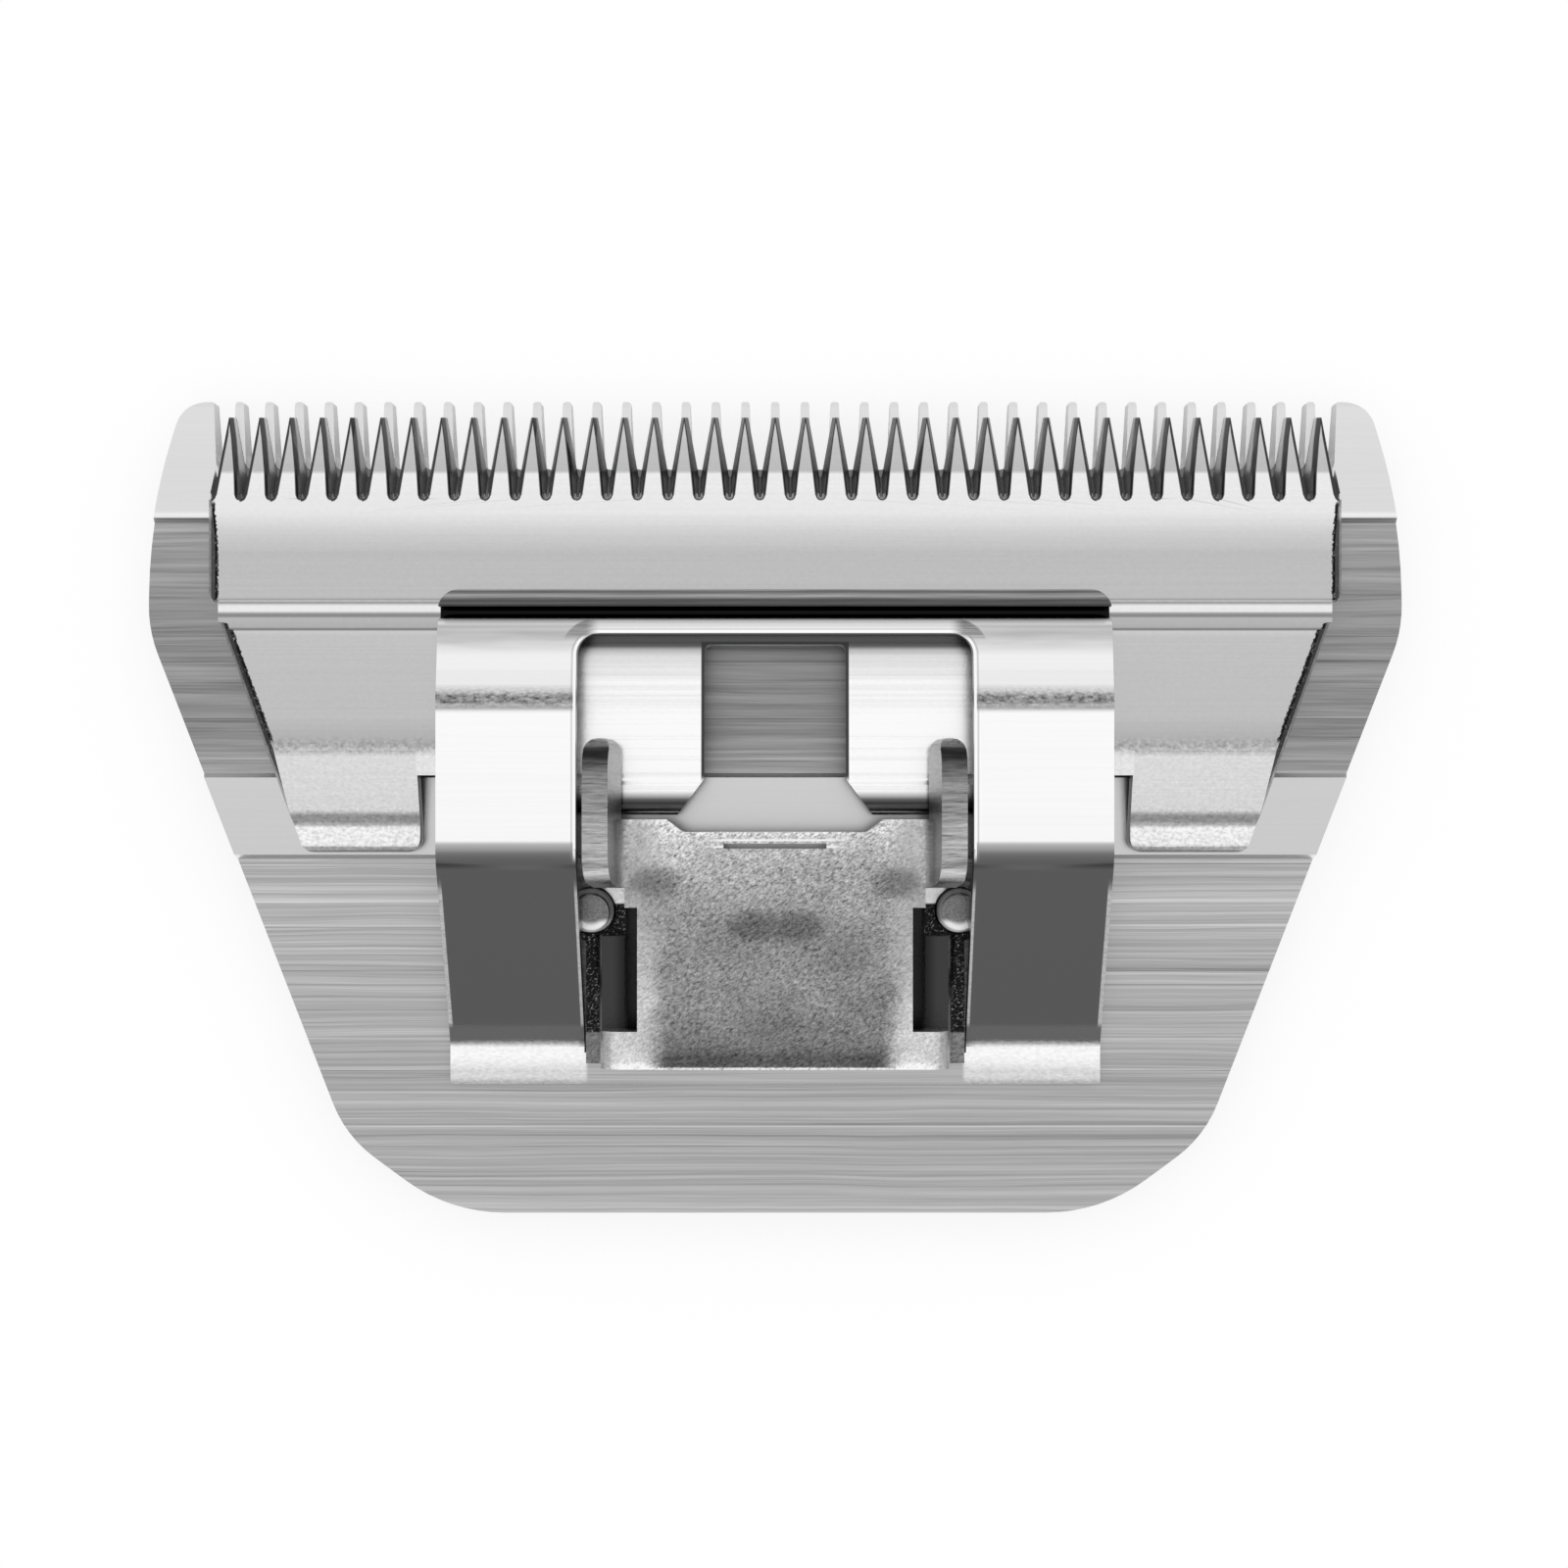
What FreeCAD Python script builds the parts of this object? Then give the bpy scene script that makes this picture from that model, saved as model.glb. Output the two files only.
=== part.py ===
import FreeCAD, Part
import math
import os

import Sketcher

# Wide detachable clipper blade set, millimetres.
# X runs across the blade, +Y points to the teeth, +Z up. The origin is under the middle of the
# comb, on the surface that it lies on. Everything is symmetric about the YZ plane.

# Driving dimensions. Y values are places along the blade, the rest are lengths.
SIZES = {
    # comb, the lower blade
    "comb_width": 61.9,
    "comb_length": 40.0,
    "comb_thick": 3.0,
    "wing_inset": 1.8,
    "wing_corner_radius": 1.6,
    "shoulder_inset": 0.1,
    "shoulder_setback": 5.5,
    "shoulder_radius": 27.0,
    "hip_setback": 11.22,
    "hip_radius": 6.5,
    "taper_end_inset": 9.73,
    "taper_end_rise": 3.77,
    "taper_end_radius": 6.0,
    "rear_edge_inset": 14.85,
    "rear_corner_radius": 8.3,
    "teeth_count": 37,
    "comb_pitch": 1.465,
    "comb_gap_tip": 1.06,
    "comb_gap_root": 0.84,
    "comb_tooth_length": 3.35,
    "comb_root_radius": 0.34,
    "comb_tip_thick": 1.1,
    "comb_tip_drop": 0.12,
    "comb_tip_run": 0.25,
    "comb_tip_nib": 0.08,
    "underside_bevel_y": 9.5,
    "hollow_front_y": 14.28,
    "hollow_rear_y": 1.5,
    "hollow_depth": 0.35,
    "rail_rear_y": -2.3,
    "shelf_depth": 0.45,
    "step_run": 0.22,
    # cutter, the upper blade
    "slide_gap": 0.05,
    "cutter_width": 55.1,
    "cutter_setback": 0.8,
    "cutter_side_lean": 0.58,
    "cutter_pitch": 1.483,
    "cutter_thick": 1.2,
    "cutter_rise": 2.55,
    "nose_thick": 0.75,
    "nose_lean": 0.1,
    "nose_length": 1.15,
    "bevel_thick": 0.9,
    "bevel_length": 1.65,
    "land_thick": 1.32,
    "crown_setback": 6.3,
    "crown_radius": 4.0,
    "heel_length": 4.9,
    "heel_run": 0.9,
    "gullet_length": 4.1,
    "gullet_height": 4.0,
    "gullet_fall": 0.85,
    "gullet_tip_depth": 2.47,
    "gullet_floor_width": 0.1,
    "gullet_draft": 0.215,
    "root_radius": 0.19,
    "root_overrun": 0.12,
    "root_floor": 0.95,
    "groove_y": 9.33,
    "groove_width": 1.42,
    "groove_depth": 0.6,
    "groove_draft": 0.1,
    "waist_y": 9.0,
    "waist_length": 1.45,
    "waist_inset": 0.58,
    "foot_gap": 1.35,
    "foot_width": 5.65,
    "foot_inset": 0.15,
    "foot_flat": 1.45,
    "foot_slope_run": 3.5,
    "foot_under_shift": 0.2,
    "foot_edge_radius": 0.4,
    "foot_corner_radius": 0.65,
    "plate_rear_y": 1.6,
    "horn_width": 20.8,
    "horn_rear_y": -0.3,
    "horn_rise": 0.3,
    "horn_front_y": 8.0,
    "horn_fall": 0.1,
    "horn_crest_radius": 5.0,
    "horn_edge_radius": 0.5,
    "slot_width": 6.84,
    "slot_end_y": 7.9,
    "slot_corner_radius": 0.35,
    "slot_flare_y": 1.4,
    "slot_flare_width": 9.4,
    # spring, one sheet
    "spring_thick": 0.8,
    "spring_width": 31.9,
    "spring_top": 8.5,
    "spring_foot_rear_y": -13.55,
    "spring_heel_y": -11.4,
    "spring_heel_radius": 1.2,
    "spring_shoulder_y": -2.3,
    "spring_shoulder_radius": 1.6,
    "spring_crease_y": 5.2,
    "spring_crease_radius": 2.2,
    "channel_gap": 0.52,
    "channel_flat": 0.06,
    "channel_lip_top": 7.75,
    "channel_back_top": 7.85,
    "channel_back_radius": 0.5,
    "window_gap": 0.16,
    "window_front_y": 8.3,
    "window_corner_radius": 1.0,
    "spring_corner_radius": 1.0,
    "spring_corner_edge": 0.06,
    "strap_front_y": -3.3,
    "strap_slit": 0.16,
    # plastic guide between spring and cutter
    "guide_inset": 0.35,
    "guide_floor": 0.3,
    "guide_seat_rise": 0.3,
    "fit_gap": 0.06,
    # socket, one sheet
    "socket_thick": 1.1,
    "socket_wall_width": 16.7,
    "socket_flange_width": 18.4,
    "socket_top": 7.2,
    "socket_bend_radius": 0.9,
    "socket_rear_y": -12.4,
    "socket_front_y": -0.5,
    "socket_wall_front_y": -2.9,
    "roof_front_width": 14.1,
    "roof_dip": 0.6,
    "roof_dip_width": 8.8,
    "roof_dip_run": 0.75,
    "roof_dip_radius": 0.5,
    "roof_slit_width": 4.9,
    "roof_slit_y": -1.65,
    "roof_slit_gap": 0.25,
    "notch_front_y": -4.7,
    "notch_rear_y": -10.6,
    "notch_inner_width": 13.1,
    "notch_floor": 5.5,
    "boss_radius": 1.5,
    "ear_spread": 17.9,
    "ear_thick": 1.2,
    "ear_top": 10.0,
    "ear_front_y": 3.35,
    "ear_rear_y": -3.75,
    "ear_nose_radius": 1.5,
    "ear_under": 6.65,
    "ear_inset": 0.2,
    "ear_rear_lean": 0.45,
    "ear_chin_radius": 0.9,
    "ear_tip_radius": 0.54,
    "ear_bend_height": 1.08,
    "ear_bend_overlap": 0.3,
    "screw_window_gap": 0.1,
    # screws
    "screw_spread": 17.8,
    "screw_y": -4.96,
    "screw_radius": 1.1,
    "screw_head_radius": 2.0,
    "screw_head_height": 1.0,
    "screw_recess": 0.15,
    "screw_end": 5.3,
    "screw_end_chamfer": 0.2,
    "screw_hole_gap": 0.12,
    "driver_slot_width": 0.5,
    "driver_slot_length": 2.3,
    "driver_slot_depth": 0.7,
    # how far a cutting shape reaches past what it cuts
    "reach": 1.0,
    "cut_length": 130.0,
}


class Size:
    """A length that knows its value and the expression that gives it."""

    def __init__(self, value, text):
        self.value = float(value)
        self.text = text

    def _join(self, other, sign, result):
        return Size(result, "(%s %s %s)" % (self.text, sign, as_size(other).text))

    def __add__(self, other):
        return self._join(other, "+", self.value + as_size(other).value)

    def __sub__(self, other):
        return self._join(other, "-", self.value - as_size(other).value)

    def __mul__(self, other):
        return self._join(other, "*", self.value * as_size(other).value)

    def __truediv__(self, other):
        return self._join(other, "/", self.value / as_size(other).value)

    def __radd__(self, other):
        return as_size(other) + self

    def __rsub__(self, other):
        return as_size(other) - self

    def __rmul__(self, other):
        return as_size(other) * self

    def __neg__(self):
        return as_size(0) - self


def as_size(number):
    """Turn a plain number into a Size, and leave a Size as it is."""
    return number if isinstance(number, Size) else Size(number, repr(float(number)))


class Sheet:
    """The spreadsheet of driving dimensions, each read as an attribute."""

    def __init__(self, document, sizes):
        table = document.addObject("Spreadsheet::Sheet", "Sizes")
        for row, (name, value) in enumerate(sizes.items(), start=1):
            table.set("A%d" % row, name)
            table.set("B%d" % row, str(value))
            table.setAlias("B%d" % row, name)
            setattr(self, name, Size(value, "Sizes." + name))


def new_body(document, name):
    """Start a sub-part: a body whose label names its file."""
    body = document.addObject("PartDesign::Body", name)
    body.Label = name
    return body


def origin_plane(body, role):
    """Find one of the body's own origin planes."""
    return next(item for item in body.Origin.OriginFeatures if item.Role == role)


def bind(target, name, size):
    """Give a property its value and tie it to the sheet."""
    target.setExpression(name, size.text)


def new_sketch(body, name, plane, offset=None):
    """Add an empty sketch on an origin plane, moved by an offset in the plane's own axes."""
    sketch = body.newObject("Sketcher::SketchObject", name)
    sketch.AttachmentSupport = [(origin_plane(body, plane), "")]
    sketch.MapMode = "FlatFace"
    for axis, size in (offset or {}).items():
        bind(sketch, "AttachmentOffset.Base." + axis, as_size(size))
    return sketch


def corner_arc(before, corner, after, radius):
    """Work out where a fillet of this radius touches the two lines at a corner, and its centre."""
    into = (before - corner).normalize()
    out = (after - corner).normalize()
    half_angle = into.getAngle(out) / 2
    reach = radius / math.tan(half_angle)
    middle = (into + out).normalize()
    centre = corner + middle * (radius / math.sin(half_angle))
    return corner + into * reach, corner + out * reach, centre


def add_loop(sketch, corners, closed=True):
    """Draw straight lines from corner to corner, with an arc where a corner has a radius.

    Each corner is (x, y) or (x, y, radius). The corner points and the radii are bound to the
    sheet, and the lines and arcs follow them.
    """
    corners = [tuple(as_size(item) for item in corner) for corner in corners]
    points = [FreeCAD.Vector(corner[0].value, corner[1].value, 0) for corner in corners]
    count = len(points)
    turns = [(point, point, None) for point in points]
    for index, corner in enumerate(corners):
        if len(corner) == 3:
            before, after = points[index - 1], points[(index + 1) % count]
            turns[index] = corner_arc(before, points[index], after, corner[2].value)
    lines = {}
    for index in range(count if closed else count - 1):
        start, end = turns[index][1], turns[(index + 1) % count][0]
        lines[index] = sketch.addGeometry(Part.LineSegment(start, end))
    for index, corner in enumerate(corners):
        pin_corner(sketch, corner, lines.get((index - 1) % count), lines.get(index), turns[index])


def flats(centre, reach, degrees, steps):
    """Give points along a round about a centre, which starts on the X side and runs in flats."""
    turns = [math.radians(degrees * step / steps) for step in range(steps + 1)]
    return [(centre[0] + reach[0] * round(math.cos(turn), 6),
             centre[1] + reach[1] * round(math.sin(turn), 6)) for turn in turns]


def pin_corner(sketch, corner, line_in, line_out, turn):
    """Bind one corner: its point, its radius, and the lines that meet there."""
    if turn[2] is not None:
        mark = sketch.addGeometry(
            Part.Point(FreeCAD.Vector(corner[0].value, corner[1].value, 0)), True)
        sketch.addConstraint(Sketcher.Constraint("PointOnObject", mark, 1, line_in))
        sketch.addConstraint(Sketcher.Constraint("PointOnObject", mark, 1, line_out))
        arc, first, last = add_arc(sketch, *turn)
        sketch.addConstraint(Sketcher.Constraint("Tangent", line_in, 2, arc, first))
        sketch.addConstraint(Sketcher.Constraint("Tangent", line_out, 1, arc, last))
        radius = sketch.addConstraint(Sketcher.Constraint("Radius", arc, corner[2].value))
        sketch.setExpression("Constraints[%d]" % radius, corner[2].text)
        held, end = mark, 1
    elif line_out is None:
        held, end = line_in, 2
    else:
        held, end = line_out, 1
        if line_in is not None:
            sketch.addConstraint(Sketcher.Constraint("Coincident", line_in, 2, line_out, 1))
    for kind, size in (("DistanceX", corner[0]), ("DistanceY", corner[1])):
        place = sketch.addConstraint(Sketcher.Constraint(kind, -1, 1, held, end, size.value))
        sketch.setExpression("Constraints[%d]" % place, size.text)


def add_arc(sketch, enter, leave, centre):
    """Add the short arc from enter to leave, and say which of its ends is which."""
    start = math.atan2(enter.y - centre.y, enter.x - centre.x)
    turn = math.atan2(leave.y - centre.y, leave.x - centre.x) - start
    turn = (turn + math.pi) % (2 * math.pi) - math.pi
    circle = Part.Circle(centre, FreeCAD.Vector(0, 0, 1), enter.distanceToPoint(centre))
    low, high = (start, start + turn) if turn > 0 else (start + turn, start)
    arc = sketch.addGeometry(Part.ArcOfCircle(circle, low, high))
    return (arc, 1, 2) if turn > 0 else (arc, 2, 1)


def mirrored_loop(corners):
    """Repeat a run of corners on the other side of the middle, to close a symmetric loop."""
    other = [(-as_size(corner[0]),) + tuple(corner[1:]) for corner in reversed(corners)]
    return list(corners) + other


def other_side(corners):
    """Mirror a whole loop across the middle."""
    return [(-as_size(corner[0]),) + tuple(corner[1:]) for corner in corners]


def add_circle(sketch, centre_x, centre_y, radius):
    """Draw one circle that is bound to the sheet."""
    sizes = [as_size(item) for item in (centre_x, centre_y, radius)]
    middle = FreeCAD.Vector(sizes[0].value, sizes[1].value, 0)
    circle = sketch.addGeometry(Part.Circle(middle, FreeCAD.Vector(0, 0, 1), sizes[2].value))
    for kind, size in (("DistanceX", sizes[0]), ("DistanceY", sizes[1])):
        place = sketch.addConstraint(Sketcher.Constraint(kind, -1, 1, circle, 3, size.value))
        sketch.setExpression("Constraints[%d]" % place, size.text)
    radius_row = sketch.addConstraint(Sketcher.Constraint("Radius", circle, sizes[2].value))
    sketch.setExpression("Constraints[%d]" % radius_row, sizes[2].text)


def pad(body, name, sketch, length, both_ways=False, reverse=False):
    """Raise a sketch into a solid."""
    feature = body.newObject("PartDesign::Pad", name)
    feature.Profile = sketch
    feature.SideType = "Symmetric" if both_ways else "One side"
    feature.Reversed = reverse
    feature.Length = length.value
    bind(feature, "Length", length)
    return feature


def cut(body, name, sketch, depth, both_ways=False, reverse=False):
    """Cut a sketch to a depth: down from its plane, up from it, or half of it each way."""
    feature = body.newObject("PartDesign::Pocket", name)
    feature.Profile = sketch
    feature.SideType = "Symmetric" if both_ways else "One side"
    feature.Type = "Length"
    feature.Reversed = reverse
    feature.Length = depth.value
    bind(feature, "Length", depth)
    return feature


def cut_along(body, name, sketch, depth, direction):
    """Cut a sketch to a depth along a slanted direction."""
    feature = cut(body, name, sketch, depth)
    feature.UseCustomVector = True
    feature.AlongSketchNormal = True
    feature.Direction = FreeCAD.Vector(*[as_size(size).value for size in direction])
    for axis, size in zip("xyz", direction):
        bind(feature, "Direction." + axis, as_size(size))
    return feature


def mirror_across(body, name, features):
    """Repeat features on the other side of the middle."""
    pair = body.newObject("PartDesign::Mirrored", name)
    pair.Originals = features
    pair.MirrorPlane = (origin_plane(body, "YZ_Plane"), [""])
    body.Tip = pair
    return pair


def repeat_across(body, name, features, sketch, spacing, count):
    """Repeat features along X."""
    pattern = body.newObject("PartDesign::LinearPattern", name)
    pattern.Originals = features
    pattern.Direction = (sketch, ["H_Axis"])
    pattern.Mode = "Spacing"
    pattern.Offset = spacing.value
    pattern.Occurrences = int(count.value)
    bind(pattern, "Offset", spacing)
    bind(pattern, "Occurrences", count)
    body.Tip = pattern
    return pattern


def revolve(body, name, sketch, cut=False):
    """Turn a sketch once round its own vertical axis, to add or to take away."""
    feature = body.newObject("PartDesign::Groove" if cut else "PartDesign::Revolution", name)
    feature.Profile = sketch
    feature.ReferenceAxis = (sketch, ["V_Axis"])
    feature.Angle = 360
    return feature


def make_comb(document, d):
    """The lower blade: outline, long cuts across it, two screw holes and the tooth gaps."""
    body = new_body(document, "comb")
    front, side = d.comb_length / 2, d.comb_width / 2
    above, below = d.comb_thick + d.reach, -d.reach

    outline = new_sketch(body, "comb_outline", "XY_Plane")
    add_loop(outline, mirrored_loop([
        (side - d.wing_inset, front, d.wing_corner_radius),
        (side - d.shoulder_inset, front - d.shoulder_setback, d.shoulder_radius),
        (side, front - d.hip_setback, d.hip_radius),
        (side - d.taper_end_inset, d.taper_end_rise - front, d.taper_end_radius),
        (side - d.rear_edge_inset, -front, d.rear_corner_radius),
    ]))
    pad(body, "comb_plate", outline, d.comb_thick)

    across = new_sketch(body, "comb_cuts", "YZ_Plane")
    hollow = d.comb_thick - d.hollow_depth
    shelf = d.comb_thick - d.shelf_depth
    add_loop(across, [
        (d.hollow_rear_y, d.comb_thick), (d.hollow_rear_y + d.step_run, hollow),
        (d.hollow_front_y - d.step_run, hollow), (d.hollow_front_y, d.comb_thick),
        (d.hollow_front_y, above), (d.hollow_rear_y, above),
    ])
    add_loop(across, [
        (d.rail_rear_y, d.comb_thick), (d.rail_rear_y, above), (-front - d.reach, above),
        (-front - d.reach, shelf), (d.rail_rear_y - d.step_run, shelf),
    ])
    tip_floor = d.comb_thick - d.comb_tip_thick
    add_loop(across, [
        (d.underside_bevel_y, 0), (front, tip_floor), (front + d.reach, tip_floor),
        (front + d.reach, below), (d.underside_bevel_y, below),
    ])
    tip_top = d.comb_thick - d.comb_tip_drop
    add_loop(across, [
        (front - d.comb_tip_run, d.comb_thick), (front, tip_top), (front + d.reach, tip_top),
        (front + d.reach, above), (front - d.comb_tip_run, above),
    ])
    cut(body, "comb_levels", across, d.cut_length, both_ways=True)

    hole = new_sketch(body, "comb_screw_hole", "XZ_Plane",
                      {"x": d.screw_spread / 2, "z": -d.screw_y})
    bore = d.screw_radius + d.screw_hole_gap
    head = d.screw_head_radius + d.screw_hole_gap
    add_loop(hole, [
        (0, below), (head, below), (head, d.screw_recess),
        (bore, d.screw_recess + d.screw_head_height), (bore, above), (0, above),
    ])
    mirror_across(body, "comb_screw_cuts", [revolve(body, "comb_screw_cut", hole, cut=True)])

    middle = -d.teeth_count * d.comb_pitch / 2
    gap = new_sketch(body, "comb_gap", "XY_Plane", {"x": middle, "z": above})
    half_tip, nib, radius = d.comb_gap_tip / 2, d.comb_tip_nib, d.comb_root_radius
    round_x = d.comb_gap_root / 2 - radius
    round_y = front - d.comb_tooth_length + radius
    add_loop(gap, mirrored_loop([
        (half_tip + nib, front + d.reach), (half_tip + nib, front), (half_tip, front - nib),
        *flats((round_x, round_y), (radius, -radius), 90, 3),
    ]))
    notch = cut(body, "comb_gap_cut", gap, above - below)
    repeat_across(body, "comb_teeth", [notch], gap, d.comb_pitch, d.teeth_count + 1)
    return body


def cutter_levels(d):
    """Heights that the cutter and what rides on it share: its sole, its top, its groove floor."""
    sole = d.comb_thick + d.slide_gap
    top = sole + d.cutter_rise
    return sole, top, top - d.groove_depth


def make_cutter(document, d):
    """The upper blade: one formed plate with ground teeth, groove, drive slot and two feet."""
    body = new_body(document, "cutter")
    sole, top, groove_floor = cutter_levels(d)
    under, above = top - d.cutter_thick, top + d.reach
    tip = d.comb_length / 2 - d.cutter_setback
    bevel_front = tip - d.nose_length
    land_front = bevel_front - d.bevel_length
    rear = d.rail_rear_y + d.foot_inset
    foot_front = rear + d.foot_flat
    bend = foot_front + d.foot_slope_run
    foot_inner = d.spring_width / 2 + d.foot_gap
    foot_outer = foot_inner + d.foot_width
    foot_top = sole + d.cutter_thick

    section = new_sketch(body, "cutter_section", "YZ_Plane")
    groove_half, groove_floor_half = d.groove_width / 2, d.groove_width / 2 - d.groove_draft
    add_loop(section, [
        (tip, sole), (tip - d.nose_lean, sole + d.nose_thick),
        (bevel_front, sole + d.bevel_thick), (land_front, sole + d.land_thick),
        (tip - d.crown_setback, top, d.crown_radius),
        (d.groove_y + groove_half, top), (d.groove_y + groove_floor_half, groove_floor),
        (d.groove_y - groove_floor_half, groove_floor), (d.groove_y - groove_half, top),
        (bend, top), (foot_front, foot_top), (rear, foot_top, d.foot_edge_radius), (rear, sole),
        (foot_front - d.foot_under_shift, sole), (bend - d.foot_under_shift, under),
        (tip - d.heel_length - d.heel_run, under), (tip - d.heel_length, sole),
    ])
    pad(body, "cutter_plate", section, d.cutter_width, both_ways=True)

    plan = new_sketch(body, "cutter_plan", "XY_Plane")
    edge, waist = d.cutter_width / 2, d.cutter_width / 2 - d.waist_inset
    outside, shoulder = d.cutter_width, d.waist_y + d.waist_length
    side = [
        (outside, shoulder + d.reach), (edge, shoulder + d.reach), (edge, shoulder),
        (waist, shoulder - d.waist_inset), (waist, d.waist_y),
        (foot_outer, rear, d.foot_corner_radius),
        (foot_inner, rear, d.foot_corner_radius), (foot_inner, bend),
        (0, bend), (0, rear - d.reach), (outside, rear - d.reach),
    ]
    add_loop(plan, side)
    add_loop(plan, other_side(side))
    cut(body, "cutter_outline", plan, d.cut_length, both_ways=True)

    lean = new_sketch(body, "cutter_side_section", "XZ_Plane")
    leaning = new_sketch(body, "cutter_flank_section", "XZ_Plane", {"z": -d.waist_y})
    for sketch, foot in ((lean, edge), (leaning, waist)):
        add_loop(sketch, [
            (foot, under), (foot - d.cutter_side_lean, top), (foot - d.cutter_side_lean, above),
            (outside, above), (outside, under),
        ])
    straight = cut(body, "cutter_side", lean, d.cut_length, both_ways=True)
    flank = cut_along(body, "cutter_flank", leaning, d.waist_y - rear + d.reach,
                      ((foot_outer - waist) / (d.waist_y - rear), -1, 0))
    mirror_across(body, "cutter_sides", [straight, flank])

    back = new_sketch(body, "cutter_back_section", "YZ_Plane")
    add_loop(back, [
        (bend, under), (bend, top), (d.plate_rear_y, top), (d.plate_rear_y, under),
    ])
    pad(body, "cutter_back", back, foot_inner * 2, both_ways=True)

    horn = new_sketch(body, "cutter_horn_section", "YZ_Plane")
    crest = top + d.horn_rise
    add_loop(horn, [
        (d.horn_front_y, under), (d.horn_front_y, top), (d.slot_flare_y, crest, d.horn_crest_radius),
        (d.horn_rear_y, crest - d.horn_fall, d.horn_edge_radius), (d.horn_rear_y, under),
    ])
    pad(body, "cutter_horns", horn, d.horn_width, both_ways=True)

    slot = new_sketch(body, "cutter_slot", "XY_Plane")
    add_loop(slot, mirrored_loop([
        (d.slot_width / 2, d.slot_end_y, d.slot_corner_radius),
        (d.slot_width / 2, d.slot_flare_y),
        (d.slot_flare_width / 2, d.horn_rear_y),
        (d.slot_flare_width / 2, d.horn_rear_y - d.reach),
    ]))
    cut(body, "cutter_drive_slot", slot, d.cut_length, both_ways=True)

    first = {"x": -d.teeth_count * d.cutter_pitch / 2, "z": d.gullet_length - tip}
    keel = sole + d.gullet_length * d.gullet_fall - d.gullet_tip_depth
    floor_half = d.gullet_floor_width / 2
    mouth = floor_half + d.gullet_height * d.gullet_draft
    gap = new_sketch(body, "cutter_gullet_section", "XZ_Plane", first)
    add_loop(gap, mirrored_loop([(floor_half, keel), (mouth, keel + d.gullet_height)]))
    gullet = cut_along(body, "cutter_gullet", gap, d.gullet_length + d.reach,
                       (0, 1, -d.gullet_fall))
    end = new_sketch(body, "cutter_root_plan", "XY_Plane", {"x": first["x"], "z": above})
    round_y = tip - d.gullet_length + d.root_radius - d.root_overrun
    add_loop(end, mirrored_loop([
        (d.root_radius, round_y + d.root_radius),
        *flats((0, round_y), (d.root_radius, -d.root_radius), 72, 2),
    ]))
    root = cut(body, "cutter_root", end, above - sole - d.root_floor)
    repeat_across(body, "cutter_teeth", [gullet, root], gap, d.cutter_pitch, d.teeth_count + 1)
    return body


def spring_levels(d):
    """Heights and places that the spring shares with the guide and the socket."""
    seat = d.comb_thick - d.shelf_depth
    guide_head = cutter_levels(d)[1] + d.slide_gap
    channel_floor = guide_head + d.guide_floor
    half_span = (d.channel_gap + d.spring_thick) / 2
    return seat, guide_head, channel_floor, half_span


def make_spring(document, d):
    """The tension spring: one sheet bent along a path, with a window and a base strap."""
    body = new_body(document, "tension_spring")
    seat, _, channel_floor, half_span = spring_levels(d)
    half_window = d.socket_flange_width / 2 + d.window_gap
    half_thick = d.spring_thick / 2
    low, high = seat + half_thick, d.spring_top - half_thick
    turn = half_span - d.channel_flat / 2
    bend = new_sketch(body, "spring_path", "YZ_Plane")
    add_loop(bend, [
        (d.spring_foot_rear_y, low),
        (d.spring_heel_y, low, d.spring_heel_radius),
        (d.spring_shoulder_y, high, d.spring_shoulder_radius),
        (d.spring_crease_y, high, d.spring_crease_radius),
        (d.groove_y - half_span, d.channel_back_top - half_thick, d.channel_back_radius),
        (d.groove_y - half_span, channel_floor + half_thick, turn),
        (d.groove_y + half_span, channel_floor + half_thick, turn),
        (d.groove_y + half_span, d.channel_lip_top),
    ], closed=False)
    sheet = new_sketch(body, "spring_sheet", "XZ_Plane", {"z": -d.spring_foot_rear_y})
    add_loop(sheet, mirrored_loop([
        (d.spring_width / 2, seat + d.spring_thick), (d.spring_width / 2, seat),
    ]))
    strip = body.newObject("PartDesign::AdditivePipe", "spring_strip")
    strip.Profile = sheet
    strip.Spine = bend

    lip_y = d.groove_y + half_span + half_thick
    plan = new_sketch(body, "spring_plan", "XY_Plane")
    add_loop(plan, mirrored_loop([
        (half_window, d.window_front_y, d.window_corner_radius),
        (half_window, d.spring_heel_y - d.spring_heel_radius / 2),
    ]))
    corner_run = d.spring_corner_radius + d.spring_corner_edge
    edge, outside = d.spring_width / 2, d.spring_width
    corner = [
        (edge, lip_y - corner_run), (edge, lip_y, d.spring_corner_radius),
        (edge - corner_run, lip_y), (edge - corner_run, lip_y + d.reach),
        (outside, lip_y + d.reach), (outside, lip_y - corner_run),
    ]
    add_loop(plan, corner)
    add_loop(plan, other_side(corner))
    cut(body, "spring_cuts", plan, d.cut_length, both_ways=True)

    strap = new_sketch(body, "spring_strap_plan", "XY_Plane", {"z": seat})
    half_strap = half_window - d.strap_slit
    add_loop(strap, mirrored_loop([
        (half_strap, d.strap_front_y, d.window_corner_radius),
        (half_strap, d.spring_foot_rear_y),
    ]))
    pad(body, "spring_strap", strap, d.spring_thick)
    holes = new_sketch(body, "spring_holes", "XY_Plane", {"z": seat + d.spring_thick})
    for side in (1, -1):
        add_circle(holes, side * d.screw_spread / 2, d.screw_y, d.screw_radius + d.screw_hole_gap)
    cut(body, "spring_hole_cuts", holes, d.spring_thick)
    return body


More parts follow.
